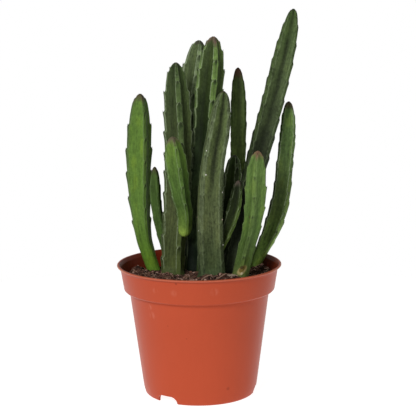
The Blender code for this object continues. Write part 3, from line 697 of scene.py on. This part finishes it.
        "crest": (0.08, 0.12, 0.04), "crestShare": 0.0, "margin": 0.6, "paintedHollowShade": 0.3, "groovePaintedShade": 0.3,
        "tip": (0.1, 0.075, 0.06), "tipLength": 4.5, "tipSpread": 0.8, "grain": 1.2, "rightPaintedLight": 9.0,
        "lineWidth": 0.1,
    },
}

# What a stem has unless it says otherwise: its first tooth's pair and the spacing, as above, the width and
# the brightness of its margin lines (partly painted highlight), how flecked and how mottled its skin is, how
# much painted light brightens its right-hand side, and its marks
usualStem = {
    "firstPair": 0, "spacing": 14, "lineWidth": 0.13, "lineGain": 1, "flecks": 0.05, "grain": 1.0,
    "rightPaintedLight": 0.0, "marks": [],
}

# What all stems share. The columns are places across half a rib: 0 to 1 on its crest and 2 in the groove.
rib = {
    "trough": 0.20, "footGroove": 0.8, "fullGrooveFrom": 0.6,
    "tooth": 1.0, "toothPoint": 0.35, "notchAbove": 0.35, "shelf": 1.8, "fullRadius": 8.0,
    "lastFade": 13.0, "spacingGrowth": 0.015, "spacingSpread": 0.12,
    "buried": 12.0, "footRound": 1.0, "ribsFrom": 0.75, "butt": 6.0,
    "tipPower": 2.6, "tipFlat": 0.1,
    "ringStep": 1.1, "columns": (0, 0.3, 0.65, 0.94, 1.08, 1.24, 1.48, 1.72, 1.9, 2),
    "pinch": 1.6,                 # the crest narrows this close to a tooth's tip
    "hollow": (0.22, 2.2, 2.4),   # lens-shaped hollow under a tooth's tip: depth, how far below, half length
    "ridge": (0.12, 0.94, 0.3),   # low ridge along a crest's edge: height, column, half width
    "waver": 0.14,                # small unevenness of the skin
    "tipTeeth": (2.0, 3.8),       # the last teeth, close round the tip
    "pointLength": 1.9, "pointRadius": 0.45, "pointLean": 0.3,
}


def samplesOf(route, perSpan=16):
    # points and radii of a smooth curve through the route, each with its length from the foot
    points = [Vector(point) for point in route]
    samples = []
    for number in range(len(points) - 1):
        start, end = points[number], points[number + 1]
        before, after = points[max(number - 1, 0)], points[min(number + 2, len(points) - 1)]
        for step in range(perSpan + (number == len(points) - 2)):
            t = step / perSpan
            bend = (2 * before - 5 * start + 4 * end - after) * t ** 2
            swing = (3 * start - before - 3 * end + after) * t ** 3
            place = start + 0.5 * ((end - before) * t + bend + swing)
            length = samples[-1][0] + (place - samples[-1][1]).to_3d().length if samples else 0
            samples.append((length, place))
    return samples


def placeAt(samples, length):
    number = next((i for i, (reach, _) in enumerate(samples) if reach >= length), len(samples) - 1)
    number = max(number, 1)
    (low, start), (high, end) = samples[number - 1], samples[number]
    return start.lerp(end, (length - low) / (high - low))


def routeAt(samples, length):
    # centre, direction and rib radius
    place = placeAt(samples, length)
    ahead, behind = placeAt(samples, length + 2), placeAt(samples, length - 2)
    radius = samples[0][1].w if length <= 0 else min(place.w, max(sample.w for _, sample in samples))
    return place.to_3d(), (ahead - behind).to_3d().normalized(), radius


def teethOf(stem, total):
    # distances from the tip, for each of the two pairs of opposite ribs
    draw = random.Random(stem["seed"])
    teeth = tuple([distance] for distance in rib["tipTeeth"])
    distance, pair = stem["firstTooth"], stem["firstPair"]
    while distance < total - stem["bare"]:
        teeth[pair].append(distance)
        spacing = stem["spacing"] + rib["spacingGrowth"] * distance
        distance += spacing / 2 * draw.uniform(1 - rib["spacingSpread"], 1 + rib["spacingSpread"])
        pair = 1 - pair
    return [sorted(set(distances)) for distances in teeth]


def toothHeight(distance, teeth):
    # out to each tooth's tip, and sharply in to the notch above it
    above = max((tooth for tooth in teeth if tooth <= distance), default=None)
    below = min((tooth for tooth in teeth if tooth > distance), default=None)
    if below is not None and distance > below - rib["shelf"]:
        share = (below - distance) / rib["shelf"]
        return rib["tooth"] - (rib["tooth"] + rib["notchAbove"]) * share ** 0.6
    if above is None:
        return 0
    end = above + rib["lastFade"] if below is None else below - rib["shelf"]
    share = min((distance - above) / (end - above), 1)
    if share < 0.5:
        return rib["tooth"] * (1 - 2 * share) ** 1.4
    return -rib["notchAbove"] * (2 * share - 1) if below is not None else 0


def aboveTooth(distance, teeth):
    # millimetres from the nearest tooth's tip, more than 0 above it
    return min((tooth - distance for tooth in teeth), key=abs, default=99)


def ribPoint(column, radius, crestWidth, standOut, ribbed, groove, above):
    # across one rib: columns -1 to 1 lie on its crest, -2 and 2 in the grooves beside it
    side = math.copysign(1, column)
    column = abs(column)
    pinch = rib["toothPoint"] * max(0, 1 - abs(above) / rib["pinch"]) * ribbed
    half = math.radians(crestWidth / 2) * (1 - pinch)
    crest = radius + standOut
    if column <= 1:
        depth, below, length = rib["hollow"]
        lens = depth * max(0, 1 - abs(above + below) / length) * max(0, 1 - column ** 2)
        height, middle, width = rib["ridge"]
        ridge = height * max(0, 1 - abs(column - middle) / width)
        reach = crest + (ridge - lens) * ribbed
        point = Vector((math.cos(column * half), math.sin(column * half))) * reach
    else:
        share = column - 1
        angle = half + (math.pi / 4 - half) * share
        smooth = Vector((math.cos(angle), math.sin(angle))) * (radius + standOut * (1 - share) ** 2)
        edge = Vector((math.cos(half), math.sin(half))) * crest
        bottom = Vector((1, 1)) * math.sqrt(0.5) * radius * (1 - groove)
        control = bottom + Vector((1, -1)) * math.sqrt(0.5) * radius * rib["trough"]
        grooved = edge * (1 - share) ** 2 + control * 2 * share * (1 - share) + bottom * share ** 2
        point = smooth.lerp(grooved, ribbed)
    return Vector((point.x, point.y * side))


def stemStations(total, teeth, rooted):
    # lengths from the foot at which a ring lies: evenly spaced, and closer at the teeth and at the ends
    fixed = [total - tooth + step for tooth in teeth[0] + teeth[1] for step in (-0.5, 0, 0.3, 0.8, 1.8)]
    fixed += [total - distance for distance in (3.0, 2.0, 1.2, 0.6, 0.25)]
    fixed += [] if rooted else [0.3, 0.8, 1.6]
    start = -rib["buried"] if rooted else 0
    count = int((total - start) / rib["ringStep"])
    even = [start + (total - start) * number / count for number in range(count + 1)]
    kept = [length for length in even if all(abs(length - other) > 0.35 for other in fixed)]
    return sorted(fixed + kept[:-1]) + [total] if rooted else [0] + sorted(fixed + kept[1:-1]) + [total]


class Section:
    # a stem cut across at one length from its foot
    def __init__(self, stem, samples, length):
        total = samples[-1][0]
        self.centre, self.direction, radius = routeAt(samples, length)
        self.right = (Vector((1, 0, 0)) - self.direction * self.direction.x).normalized()
        self.front = self.right.cross(self.direction)
        self.share = min(max(length / total, 0), 1)
        self.turn = math.radians(stem["turns"][0] + (stem["turns"][1] - stem["turns"][0]) * self.share)
        self.slimming = tipShare(total - length, stem["taper"])
        self.radius = radius * self.slimming
        self.ribbed = min(max((length - rib["footRound"]) / (stem["bare"] * rib["ribsFrom"]), 0), 1)
        self.swell = stem["toothSize"] * self.ribbed * min(self.radius / rib["fullRadius"], 1)

    def ribAxes(self, number):
        # outwards along a rib, and to its side
        angle = self.turn + number * math.pi / 2
        out = self.right * math.cos(angle) + self.front * math.sin(angle)
        return out, self.front * math.cos(angle) - self.right * math.sin(angle)


def makeStem(name, stem):
    rooted = "node" in stem
    samples = samplesOf(stem["route"])
    total = samples[-1][0]
    teeth = teethOf(stem, total)
    stations = stemStations(total, teeth, rooted)
    half = rib["columns"]
    across = [-column for column in half[:0:-1]] + list(half[:-1])
    columns = [(number, column) for number in range(4) for column in across]
    around, along = len(columns), len(stations) - 1
    bm = bmesh.new()
    names = ("across", "aboveTooth", "share", "fromTip", "point")
    layers = {key: bm.verts.layers.float.new(key) for key in names}
    skin = bm.verts.layers.float_vector.new("skin")
    bmesh.ops.create_grid(bm, x_segments=around, y_segments=along, size=1)
    rings = {}
    for vert in bm.verts:
        column = round((vert.co.x + 1) / 2 * around)
        row = round((vert.co.y + 1) / 2 * along)
        rings.setdefault(row, []).append((column, vert))
    for row, verts in rings.items():
        length = stations[row]
        distance = total - length
        section = Section(stem, samples, length)
        radius = section.radius
        if not rooted:
            rounding = 1 - min(length / rib["butt"], 1)
            radius *= max(math.sqrt(1 - rounding ** 2), rib["tipFlat"])
        grooved = section.ribbed * (0.5 + 0.5 * section.slimming)
        deepening = min(section.share / rib["fullGrooveFrom"], 1)
        groove = stem["groove"] * (rib["footGroove"] + (1 - rib["footGroove"]) * deepening)
        standOut = [toothHeight(distance, pair) * section.swell for pair in teeth]
        above = [aboveTooth(distance, pair) for pair in teeth]
        for column, vert in verts:
            number, place = columns[column % around]
            pair = number % 2
            out, aside = section.ribAxes(number)
            flat = ribPoint(place, radius, stem["crestWidth"], standOut[pair], grooved, groove, above[pair])
            offset = out * flat.x + aside * flat.y
            spot = section.centre + offset
            grain = noise.noise(spot / 7 + Vector((stem["seed"] * 9, 0, 0)))
            vert.co = spot + (offset.normalized() * grain * rib["waver"] if offset.length > 1 else Vector())
            vert[layers["across"]] = abs(place)
            vert[layers["aboveTooth"]] = above[pair]
            vert[layers["share"]] = section.share
            vert[layers["fromTip"]] = distance
            vert[skin] = (offset.dot(section.right), offset.dot(section.front), length)
    bmesh.ops.remove_doubles(bm, verts=bm.verts, dist=0.002)
    ends = [edge for edge in bm.edges if edge.is_boundary]
    bmesh.ops.holes_fill(bm, edges=ends, sides=0)
    for pair, distances in enumerate(teeth):
        for distance in distances:
            addToothPoints(bm, layers, skin, stem, samples, pair, distance, distances)
    bmesh.ops.recalc_face_normals(bm, faces=bm.faces)
    places = [placeOnSkin(bm, skin, length, turn) for length, turn, *_ in stem["marks"]]
    piece = finishPiece(name, bm, stemSkin(name, stem, places, total), stem.get("node"))
    print(name + ":", len(piece.data.polygons), "faces")


def placeOnSkin(bm, skin, length, turn):
    # the skin's own coordinates at a length from the foot and a turn round the stem
    aim = Vector((math.cos(math.radians(turn)), math.sin(math.radians(turn))))

    def miss(spot):
        return abs(spot.z - length) + rib["fullRadius"] * (spot.to_2d().normalized() - aim).length

    return tuple(min((vert[skin] for vert in bm.verts), key=miss))


def tipShare(distance, taper):
    share = min(distance / taper, 1)
    return max(math.sqrt(1 - (1 - share) ** rib["tipPower"]), rib["tipFlat"])


def addToothPoints(bm, layers, skin, stem, samples, pair, distance, teeth):
    # the dark withered leaf on each tooth: a tiny cone that points up and out
    section = Section(stem, samples, samples[-1][0] - distance)
    size = min(max(section.radius / rib["fullRadius"], 0.55), 1) * section.ribbed
    standOut = toothHeight(distance, teeth) * section.swell
    lean = rib["pointLean"] if distance > 4 else 0.1
    for number in (pair, pair + 2):
        out = section.ribAxes(number)[0]
        heading = (out * lean + section.direction).normalized()
        foot = section.centre + out * (section.radius + standOut - 0.3 * size)
        middle = foot + heading * rib["pointLength"] * size * 0.4
        turned = heading.to_track_quat("Z", "Y").to_matrix().to_4x4()
        made = bmesh.ops.create_cone(
            bm, cap_ends=True, segments=6, radius1=rib["pointRadius"] * size, radius2=0.05,
            depth=rib["pointLength"] * size, matrix=Matrix.Translation(middle) @ turned,
        )["verts"]
        for vert in made:
            vert[layers["point"]] = 1
            vert[layers["share"]] = section.share
            vert[layers["fromTip"]] = distance
            vert[layers["aboveTooth"]] = 9
            vert[skin] = vert.co


# Colours of the skin's details on all stems
details = {
    "paintedHollowShade": (0.014, 0.028, 0.014), "toothTip": (0.03, 0.03, 0.014), "leafPoint": (0.03, 0.036, 0.02),
    "line": (0.28, 0.33, 0.21), "fleck": (0.34, 0.39, 0.28), "sheen": (0.8, 0.9, 0.65),
    "yellowing": (1.3, 1.12, 0.7),
}


def stemSkin(name, stem, places, total):
    finish = Finish(name + "Skin")
    across, above = finish.own("across"), finish.own("aboveTooth")
    share, fromTip, point = finish.own("share"), finish.own("fromTip"), finish.own("point")
    skin = finish.own("skin", "Vector")
    streaks = finish.cloud(finish.stretch(skin, (1, 1, 0.08)), 1.3, 3.0, 0.65)
    patches = finish.cloud(finish.stretch(skin, (1, 1, 0.35)), 7.0, 2.0)
    mottle = finish.cloud(finish.stretch(skin, (1, 1, 0.7)), 1.5, 2.0, 0.6)
    hairs = finish.cloud(finish.stretch(skin, (1, 1, 0.5)), 0.28, 2.0, 0.7)
    uneven = 1 + stem["grain"] * (1.2 * (streaks - 0.5) + 0.7 * (patches - 0.5) + (mottle - 0.5))

    # faces: painted light on the right-hand side and painted shade along the grooves
    colour = finish.shade(finish.ramp(share + 0.06 * (patches - 0.5), stem["face"]), uneven)
    yellow = 0.5 if stem["slot"] == "bright_stem" else 0.15
    colour = finish.mix(yellow * finish.rise(patches, 0.5, 0.7), colour, details["yellowing"], "MULTIPLY")
    colour = finish.shade(colour, 1 + stem["rightPaintedLight"] * finish.rise(finish.part(skin, "X"), 1.0, 5.0))
    inGroove = finish.rise(share, 0.35, 0.6) * finish.rise(across, 1.25, 1.95)
    colour = finish.shade(colour, 1 - stem["groovePaintedShade"] * inGroove)

    # crests: a strip between two thin pale lines that meet in an arch at each tooth, with a bright end
    # above the tooth and painted shade in the hollow under it
    ribbed = finish.rise(share * total, stem["bare"] * 0.4, stem["bare"])
    brightEnd = 0.85 + 0.45 * finish.rise(above, 0.2, 1.2) * finish.fall(above, 1.6, 6.0)
    crest = finish.shade(finish.plain(stem["crest"]), brightEnd * uneven)
    strip = finish.fall(across, 0.95, 1.2) * (0.3 + 0.7 * finish.fall(fromTip, 40, 120))
    colour = finish.mix(stem["crestShare"] * strip, colour, crest)
    # painted shade in the lens-shaped hollow under each tooth's tip; its strength also scales the tooth tips
    # and points
    inHollow = finish.rise(above, -6.0, -0.6) * finish.fall(above, -0.2, 0.5) * finish.fall(across, 0.25, 0.75)
    colour = finish.mix(stem["paintedHollowShade"] * inHollow * ribbed, colour, details["paintedHollowShade"])
    # pale margin lines and arches: partly the skin's paler edges and partly painted highlight
    line = finish.fall(abs(across - 1.0), 0.02, stem["lineWidth"])
    arch = finish.fall(abs(above + 1.5 * across * across - 0.9), 0.15, 0.6) * finish.fall(across, 1.0, 1.1)
    outline = (line + 0.7 * arch) * ribbed * finish.rise(mottle + streaks, 0.7, 1.05)
    lineTone = tuple(stem["lineGain"] * value for value in details["line"])
    colour = finish.mix(0.6 * stem["margin"] * outline, colour, lineTone)

    # pale hairs and flecks, the brown tip, dark tooth tips and single marks
    colour = finish.shade(colour, 0.95 + 0.4 * finish.rise(hairs, 0.5, 0.8))
    flecks = finish.rise(finish.cloud(skin, 1.1, 1.0), 0.64, 0.74)
    flecks = flecks * (0.35 + 0.65 * finish.fall(across, 1.0, 1.4))
    colour = finish.mix(stem["flecks"] * flecks, colour, details["fleck"])
    fromBrown = fromTip + 2.0 * (patches - 0.5) + 3.0 * (mottle - 0.5) + stem["tipSpread"] * across
    brown = finish.fall(fromBrown, stem["tipLength"] * 0.4, stem["tipLength"] * 1.3)
    colour = finish.mix(0.85 * brown, colour, stem["tip"])
    toothTip = finish.fall(abs(above + 0.4), 0.5, 1.3) * finish.fall(across, 0.5, 1.0) * ribbed
    colour = finish.mix((0.15 + 0.3 * stem["paintedHollowShade"]) * toothTip, colour, details["toothTip"])
    for place, (_, turn, width, height, slant, tint) in zip(places, stem["marks"]):
        colour = finish.mix(onMark(finish, skin, place, turn, width, height, slant), colour, tint)
    colour = finish.mix((0.6 + 0.4 * stem["paintedHollowShade"]) * point, colour, details["leafPoint"])

    relief = 0.12 * streaks + 0.05 * hairs + 0.10 * patches + 0.08 * mottle
    finish.surface(Base_Color=colour, Roughness=0.5 + 0.2 * streaks, Normal=finish.bump(relief, 0.7))
    finish.surface(Sheen_Weight=0.03, Sheen_Roughness=0.4, Sheen_Tint=details["sheen"])
    finish.surface(Specular_IOR_Level=0.1)
    return finish


def onMark(finish, skin, place, turn, width, height, slant):
    # 1 on an oval mark of the skin and 0 outside it
    turn, slant = math.radians(turn), math.radians(slant)
    aside, up = Vector((-math.sin(turn), math.cos(turn), 0)), Vector((0, 0, 1))
    away = finish.node("ShaderNodeVectorMath", {"operation": "SUBTRACT"}, {0: skin, 1: place})
    axes = (
        (aside * math.cos(slant) + up * math.sin(slant)) * 2 / width,
        (up * math.cos(slant) - aside * math.sin(slant)) * 2 / height,
    )
    reach = [finish.measure("DOT_PRODUCT", away, tuple(axis)) for axis in axes]
    return finish.fall(reach[0] * reach[0] + reach[1] * reach[1], 0.5, 1.2)


for stemName, stemValues in stems.items():
    makeStem(stemName, {**usualStem, **stemValues})

# Peat: a heaped, lumpy surface with crumbs, fibres and chips on it. Tones are the stops of a colour ramp.
peat = {
    "top": 87.6, "edgeDrop": 2.6, "tilt": 1.6, "radius": 54.2, "lump": 0.6, "sideTop": 80.0, "gap": 0.3,
    "heaps": [  # x, y, spread and height
        (5, -27, 7, 5.0), (16, -26, 7, 5.0), (26, -23, 8, 3.0), (-25, -6, 8, 3.5), (-47, 20, 7, 6.0),
        (44, 20, 9, 3.6),
    ],
    "grid": 150, "clods": 1.7, "grit": 0.9,
    "bedTones": [
        (0.35, (0.004, 0.002, 0.0015)), (0.46, (0.042, 0.018, 0.011)), (0.58, (0.16, 0.072, 0.048)),
        (0.74, (0.34, 0.20, 0.145)),
    ],
    "crumbs": 4200, "crumbSize": (0.3, 1.4), "crumbSeed": 4,
    "crumbTones": [
        (0.15, (0.006, 0.003, 0.002)), (0.36, (0.055, 0.024, 0.015)), (0.52, (0.19, 0.083, 0.055)),
        (0.74, (0.48, 0.30, 0.23)),
    ],
    "fibres": 190, "fibreSize": (0.1, 0.26), "fibreSeed": 7,
    "fibreTones": [(0.1, (0.05, 0.025, 0.015)), (0.5, (0.16, 0.08, 0.05)), (0.9, (0.34, 0.21, 0.15))],
    "curlSize": 0.6, "curlShade": 0.85,
    "curls": [   # the curled fibres before the front stem, as x, y and height above the peat
        [(0, -33, 0.2), (2.2, -31, 1.0), (5, -30, 1.6), (8, -29.5, 1.5), (10.5, -30, 0.5)],
        [(11.5, -31, 0.2), (13.5, -30, 0.8), (16, -29, 1.3), (18, -28, 1.8), (19.5, -27, 2.2)],
        [(3.5, -34, 0.3), (6.5, -33, 0.8), (9.5, -33.5, 0.4), (12, -34, 0.3)],
    ],
    "chips": 95, "chipSeed": 11, "chipSize": [(1.2, 3.6), (0.7, 1.6), (0.3, 0.8)], "chipEdge": 0.12,
    "chipTilt": 0.35, "chipWarp": (0.25, 0.25, 0.12),   # how far a chip tips over and its corners move
    "placedChips": [   # x, y, length, width, height, turn and tone
        (22.4, -24.5, 7.0, 1.8, 0.7, 4, 1.0), (-33.7, 7.2, 3.4, 1.5, 0.6, 20, 0.97),
        (-23.0, -11.0, 4.4, 1.1, 0.7, 10, 0.75),
    ],
    "chipTones": [
        (0.1, (0.03, 0.016, 0.01)), (0.5, (0.12, 0.05, 0.03)), (0.8, (0.28, 0.16, 0.10)),
        (0.97, (0.5, 0.44, 0.36)),
    ],
    "sharpAngle": 30,
}


def heapHeight(x, y, heap):
    middleX, middleY, spread, height = heap
    return height * math.exp(-math.hypot(x - middleX, y - middleY) ** 2 / spread ** 2)


def peatHeight(x, y):
    spread = math.hypot(x, y) / peat["radius"]
    bed = peat["top"] - peat["edgeDrop"] * spread ** 2 + peat["tilt"] * x / peat["radius"]
    bed += sum(heapHeight(x, y, heap) for heap in peat["heaps"])
    lumps = peat["lump"] * (math.sin(x / 4.3 + 1) * math.cos(y / 3.9) + 0.6 * math.sin((x + 2 * y) / 5.7))
    clods = noise.turbulence(Vector((x, y, 0)) / 6, 3, True) - 0.55
    grit = noise.turbulence(Vector((x, y, 7)) / 1.7, 2, True) - 0.5
    return bed + lumps + (peat["clods"] * clods + peat["grit"] * grit) * min(1, (1 - spread) * 8 + 0.3)


def peatFinish(name, tones, tone=None):
    finish = Finish(name)
    place = finish.place()
    broad = finish.cloud(place, 4.0, 4.0, 0.65)
    grain = finish.cloud(place, 0.5, 3.0, 0.7)
    value = 0.25 * broad + 0.75 * grain if tone is None else 0.75 * finish.own(tone) + 0.25 * grain
    colour = finish.ramp(value, tones)
    finish.surface(Base_Color=colour, Roughness=0.85 + 0.1 * broad, Normal=finish.bump(0.5 * grain, 0.8))
    finish.surface(Specular_IOR_Level=0.3)
    return finish


def makePeat():
    bm = bmesh.new()
    bmesh.ops.create_grid(bm, x_segments=peat["grid"], y_segments=peat["grid"], size=1)
    for vert in bm.verts:
        x, y = vert.co.x, vert.co.y
        if abs(x) > abs(y):
            radius, angle = x, math.pi / 4 * y / x
        else:
            radius, angle = y, math.pi / 2 - (math.pi / 4 * x / y if y else 0)
        x, y = math.cos(angle) * radius * peat["radius"], math.sin(angle) * radius * peat["radius"]
        vert.co = (x, y, peatHeight(x, y))
    side = offsetProfile(bodyProfile(), pot["wall"] + peat["gap"])
    side = [point for point in side if pot["floor"] + peat["gap"] < point[1] < peat["sideTop"]][::-1]
    side.append((pot["floorRadius"] - peat["gap"], pot["floor"] + peat["gap"]))
    rim = [edge for edge in bm.edges if edge.is_boundary]
    for radius, height in side:
        made = bmesh.ops.extrude_edge_only(bm, edges=rim)["geom"]
        rim = [item for item in made if isinstance(item, bmesh.types.BMEdge)]
        for vert in {vert for edge in rim for vert in edge.verts}:
            flat = vert.co.to_2d().normalized() * radius
            vert.co = (flat.x, flat.y, height)
    bmesh.ops.holes_fill(bm, edges=rim, sides=0)
    bmesh.ops.recalc_face_normals(bm, faces=bm.faces)
    finishPiece("peatBed", bm, peatFinish("peat", peat["bedTones"]), "soil")


def onPeat(draw, reach=0.97):
    # a random place on the peat, outside the stems' feet
    while True:
        radius, turn = peat["radius"] * reach * math.sqrt(draw.random()), draw.uniform(0, 360)
        spot = polar(radius, turn)
        feet = [stem["route"][0] for stem in stems.values() if "node" in stem]
        if all(math.hypot(spot.x - foot[0], spot.y - foot[1]) > foot[3] - 0.3 for foot in feet):
            spot.z = peatHeight(spot.x, spot.y)
            return spot


def makeCrumbs():
    draw = random.Random(peat["crumbSeed"])
    bm = bmesh.new()
    tone = bm.verts.layers.float.new("tone")
    small, large = peat["crumbSize"]
    for _ in range(peat["crumbs"]):
        size = small + (large - small) * draw.random() ** 3
        spot = onPeat(draw)
        spot.z += size * draw.uniform(-0.2, 0.5)
        place = Matrix.Translation(spot)
        made = bmesh.ops.create_icosphere(bm, subdivisions=1, radius=size, matrix=place)["verts"]
        squeeze = Vector((draw.uniform(0.6, 1.3), draw.uniform(0.6, 1.3), draw.uniform(0.5, 0.9)))
        shade = draw.random()
        for vert in made:
            offset = vert.co - spot
            vert.co = spot + offset * squeeze * draw.uniform(0.75, 1.2)
            vert[tone] = shade
    finish = peatFinish("peatCrumb", peat["crumbTones"], "tone")
    finishPiece("peatCrumbs", bm, finish, sharpAngle=peat["sharpAngle"])


def addFibre(whole, path, radius, shade, sides=4):
    # a thin tube along a path, thinner at its ends and in one shade
    bm = bmesh.new()
    tone = bm.verts.layers.float.new("tone")
    ring = bmesh.ops.create_circle(bm, cap_ends=True, segments=sides, radius=1)["verts"]
    face = ring[0].link_faces[0]
    for number, point in enumerate(path):
        if number:
            made = bmesh.ops.extrude_face_region(bm, geom=[face])["geom"]
            if number > 1:
                bmesh.ops.delete(bm, geom=[face], context="FACES_ONLY")
            face = next(item for item in made if isinstance(item, bmesh.types.BMFace))
        heading = (path[min(number + 1, len(path) - 1)] - path[max(number - 1, 0)]).normalized()
        turned = heading.to_track_quat("Z", "Y")
        share = number / (len(path) - 1)
        wide = radius * (0.45 + 0.55 * math.sin(math.pi * share))
        for corner, vert in enumerate(face.verts):
            angle = math.tau * corner / sides
            vert.co = point + turned @ Vector((math.cos(angle), math.sin(angle), 0)) * wide
    for vert in bm.verts:
        vert[tone] = shade
    strand = meshFrom("strand", bm)
    whole.from_mesh(strand)
    bpy.data.meshes.remove(strand)


def makeFibres():
    draw = random.Random(peat["fibreSeed"])
    bm = bmesh.new()
    bm.verts.layers.float.new("tone")
    for _ in range(peat["fibres"]):
        spot = onPeat(draw, 0.95)
        heading, curl = draw.uniform(0, math.tau), draw.uniform(-0.5, 0.5)
        count, step = draw.randint(6, 14), draw.uniform(0.5, 1.0)
        path = []
        for number in range(count):
            lift = math.sin(math.pi * number / (count - 1)) * draw.uniform(0.6, 1.4)
            height = max(peatHeight(spot.x, spot.y), peat["sideTop"]) + 0.1 + lift
            path.append(Vector((spot.x, spot.y, height)))
            heading += curl + draw.uniform(-0.3, 0.3)
            spot += Vector((math.cos(heading), math.sin(heading), 0)) * step
            if spot.to_2d().length > peat["radius"] - 1:
                heading += 1.2             # back from the rim
        addFibre(bm, path, draw.uniform(*peat["fibreSize"]), draw.random())
    for points in peat["curls"]:
        route = [(x, y, peatHeight(x, y) + lift, 0) for x, y, lift in points]
        path = [place.to_3d() for _, place in samplesOf(route, 4)]
        addFibre(bm, path, peat["curlSize"], peat["curlShade"], 6)
    bmesh.ops.recalc_face_normals(bm, faces=bm.faces)
    finishPiece("peatFibres", bm, peatFinish("peatFibre", peat["fibreTones"], "tone"))


def makeChips():
    draw = random.Random(peat["chipSeed"])
    bm = bmesh.new()
    tone = bm.verts.layers.float.new("tone")
    chips = []
    for _ in range(peat["chips"]):
        spot = onPeat(draw, 0.93)
        size = [draw.uniform(*limits) for limits in peat["chipSize"]]
        chips.append((spot.x, spot.y, *size, draw.uniform(0, 360), draw.random()))
    for x, y, length, width, height, turn, shade in chips + peat["placedChips"]:
        turned = Matrix.Rotation(math.radians(turn), 4, "Z")
        tipped = Matrix.Rotation(draw.uniform(-peat["chipTilt"], peat["chipTilt"]), 4, "X")
        place = Matrix.Translation((x, y, peatHeight(x, y) + 0.6)) @ turned @ tipped
        shape = Matrix.Diagonal((length, width, height, 1))
        for vert in bmesh.ops.create_cube(bm, size=1, matrix=place @ shape)["verts"]:
            vert.co += Vector([draw.uniform(-most, most) for most in peat["chipWarp"]])
            vert[tone] = shade
    roundEdges(bm, bm.edges[:], peat["chipEdge"], 1)
    finish = peatFinish("barkChip", peat["chipTones"], "tone")
    finishPiece("barkChips", bm, finish, sharpAngle=peat["sharpAngle"])


makePeat()
makeCrumbs()
makeFibres()
makeChips()
print("peat ready")
